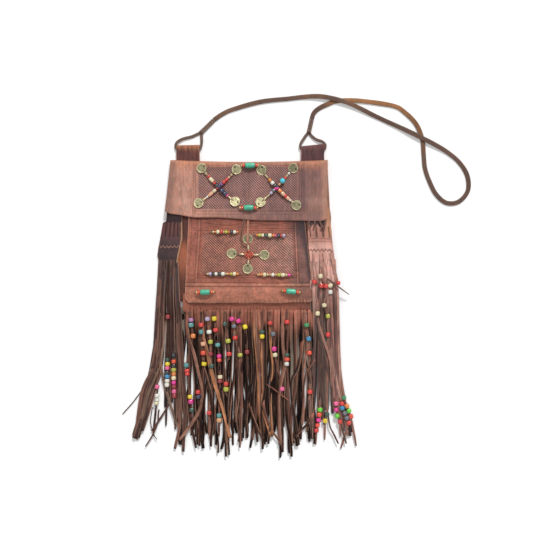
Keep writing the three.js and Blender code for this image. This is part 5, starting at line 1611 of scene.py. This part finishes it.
# Thong that closes the flap: one leg round the top coin, one over it, and a short bridge between them
def make_closing_thong():
    cx, cy = PANEL_COINS[0][0]
    start = float(hem_at(cx)) + 1.5
    near_coin = lambda *offsets: [(cx + x, cy + y) for x, y in offsets]
    around = [(cx - 4.2, start), *near_coin((-8.6, 9), (-9.7, 0), (-7.4, -8), (-4.6, -11.5))]
    over = [(cx + 0.9, start), *near_coin((0.6, 16), (0.4, 6), (0.2, -6), (0.6, -12), (0.9, -18))]
    bridge = near_coin((-5.2, -9.6), (-2.6, -11.4), (0.4, -11.6))
    shape = Shape()
    x, y = curve_through(around, 8).T
    tone = tint(paint(84, 52, 46), paint(122, 78, 64), 0.5 + 0.5 * noise(y, x, 5, 161))
    ribbon(shape, xyz(x, y, panel_top(x, y) + GAP), 3.4, 1.3, tone, 0, 0.75)
    x, y = curve_through(over, 8).T
    tone = tint(paint(202, 146, 120), paint(150, 100, 82), 0.5 + 0.5 * noise(y, x, 6, 162))
    width = 3.6 * clamp((y - cy + 18.6) / 5.6, 0.12, 1)
    lift = 2.9 * near(y, cy, 8.5) + GAP
    ribbon(shape, xyz(x, y, panel_top(x, y) + lift), width, 1.3, tone, 0, (0.1, 0.8))
    x, y = curve_through(bridge, 6).T
    ribbon(shape, xyz(x, y, panel_top(x, y) + 0.5), 2.2, 1.2, paint(96, 60, 50))
    shape.build("flap_thong", "lace", ["closing_thong"], "dark_leather")


make_closing_thong()


# Tabs: a strip folded into a loop behind the fold
def make_tab(name, node, centre, tone, fold_tone, tilt, seed):
    """Its two layers, joined by a half round, both ending against the fold of the body"""
    s = np.linspace(0, 1, 45)[None, :]
    x = centre + TAB_WIDTH * (s - 0.5)
    loop_centre = TAB_REACH - LOOP_RADIUS
    radius_fold = fold_radius(x)

    def face(z):
        level = np.clip(z, 0, 2 * radius_fold)
        return fold_start(x) + np.sqrt(np.maximum(radius_fold**2 - (level - radius_fold) ** 2, 0)) + GAP

    outer, inner = [], []
    for change, rows in ((0.0, outer), (TAB_LEATHER, inner)):
        radius = LOOP_RADIUS - change
        low_y = face(change)
        top_z = 2 * LOOP_RADIUS - change
        high_y = np.maximum(face(np.clip(radius_fold, 4.2, 5.8)), face(5.8))
        for t in np.linspace(0, 1, 9)[:-1]:
            rows.append(xyz(x, lerp(low_y, loop_centre, t), change))
        for turn in np.linspace(-np.pi / 2, np.pi / 2, 9):
            rows.append(xyz(x, loop_centre + radius * np.cos(turn), LOOP_RADIUS + radius * np.sin(turn)))
        for t in np.linspace(0, 1, 9)[1:]:
            rows.append(xyz(x, lerp(loop_centre, high_y, t), top_z))
    outer, inner = np.concatenate(outer), np.concatenate(inner)
    for rows in (outer, inner):
        rows[..., 1] += tilt * (2 * s - 1) * ease(rows[..., 1], 106, 120)
    streak = noise(outer[..., 0] * 3, outer[..., 1] * 0.4, 4, seed)
    outer[..., 2] = np.maximum(outer[..., 2] + 0.18 * streak * (outer[..., 2] > 1), 0)
    # The tab is painted lighter and more orange toward its loop at the top
    worn = ease(outer[..., 1] + 3 * streak, 113, 123)
    colour = lit(tint(tone, fold_tone, worn), 0.25 * streak)
    shape = Shape()
    shape.slab(outer[:, ::-1], inner[:, ::-1], colour[:, ::-1], paint(168, 122, 98), tone * 0.6)
    shape.build(name, "dark", [node], "dark_leather")


make_tab("left_tab_leather", "left_tab", -89, paint(102, 64, 59), paint(166, 112, 84), 0.4, 171)
make_tab("right_tab_leather", "right_tab", 92.5, paint(92, 63, 66), paint(108, 74, 72), 1.7, 172)

# Every solid that is still shown gets a painted material too
for node in frame["nodes"].values():
    if node.get("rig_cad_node") and not node.hide_render:
        for slot in node.material_slots:
            slot.material = FINISH["lace"]


def seen_directly(tree):
    """1 for rays that show the background: the camera's, mirrored ones and ones through glass"""
    rays = tree.nodes.new("ShaderNodeLightPath").outputs
    seen = rays["Is Camera Ray"]
    for other in ("Is Glossy Ray", "Is Transmission Ray"):
        either = tree.nodes.new("ShaderNodeMath")
        either.operation = "MAXIMUM"
        tree.links.new(seen, either.inputs[0])
        tree.links.new(rays[other], either.inputs[1])
        seen = either.outputs[0]
    return seen


# Floor: pale, white where the camera sees it in full light, and it keeps the shadows
FLOOR_REACH, FLOOR_DROP, FLOOR_GLOW = 4, 0.0002, 0.17
corners = [(-1, -1), (1, -1), (1, 1), (-1, 1)]
floor_mesh = bpy.data.meshes.new("floor")
floor_mesh.from_pydata([(FLOOR_REACH * x, FLOOR_REACH * y, 0) for x, y in corners], [], [(0, 1, 2, 3)])
floor = bpy.data.objects.new("floor", floor_mesh)
floor.location.z = -FLOOR_DROP
bpy.context.scene.collection.objects.link(floor)
floor_material = bpy.data.materials.new("pale_floor")
floor_material.use_nodes = True
floor_tree = floor_material.node_tree
floor_shader = floor_tree.nodes["Principled BSDF"]
floor_shader.inputs["Base Color"].default_value = (0.9, 0.9, 0.9, 1)
floor_shader.inputs["Roughness"].default_value = 0.9
floor_shader.inputs["Specular IOR Level"].default_value = 0.1
floor_shader.inputs["Emission Color"].default_value = (1, 1, 1, 1)
glow = floor_tree.nodes.new("ShaderNodeMath")
glow.operation = "MULTIPLY"
glow.inputs[1].default_value = FLOOR_GLOW
floor_tree.links.new(seen_directly(floor_tree), glow.inputs[0])
floor_tree.links.new(glow.outputs[0], floor_shader.inputs["Emission Strength"])
floor_mesh.materials.append(floor_material)

# World: soft white light all round, and plain white where it is seen
WORLD_LIGHT, WORLD_SEEN = 0.4, 1.0
world = bpy.data.worlds.new("studio")
bpy.context.scene.world = world
world.use_nodes = True
world_tree = world.node_tree
background = world_tree.nodes["Background"]
background.inputs["Color"].default_value = (1, 1, 1, 1)
strength = world_tree.nodes.new("ShaderNodeMapRange")
strength.inputs["To Min"].default_value = WORLD_LIGHT
strength.inputs["To Max"].default_value = WORLD_SEEN
world_tree.links.new(seen_directly(world_tree), strength.inputs["Value"])
world_tree.links.new(strength.outputs[0], background.inputs["Strength"])


def sun(name, energy, angle, direction):
    light = bpy.data.lights.new(name, "SUN")
    light.energy = energy
    light.angle = angle
    lamp = bpy.data.objects.new(name, light)
    away = np.array(direction, float)
    away /= np.linalg.norm(away)
    lamp.rotation_euler = Vector(away).to_track_quat("Z", "Y").to_euler()
    bpy.context.scene.collection.objects.link(lamp)


sun("key", energy=2.4, angle=0.18, direction=(0.32, 1.0, 1.02))
sun("fill", energy=0.35, angle=1.2, direction=(-0.8, -0.1, 1.0))

bpy.context.scene.view_settings.view_transform = "Standard"
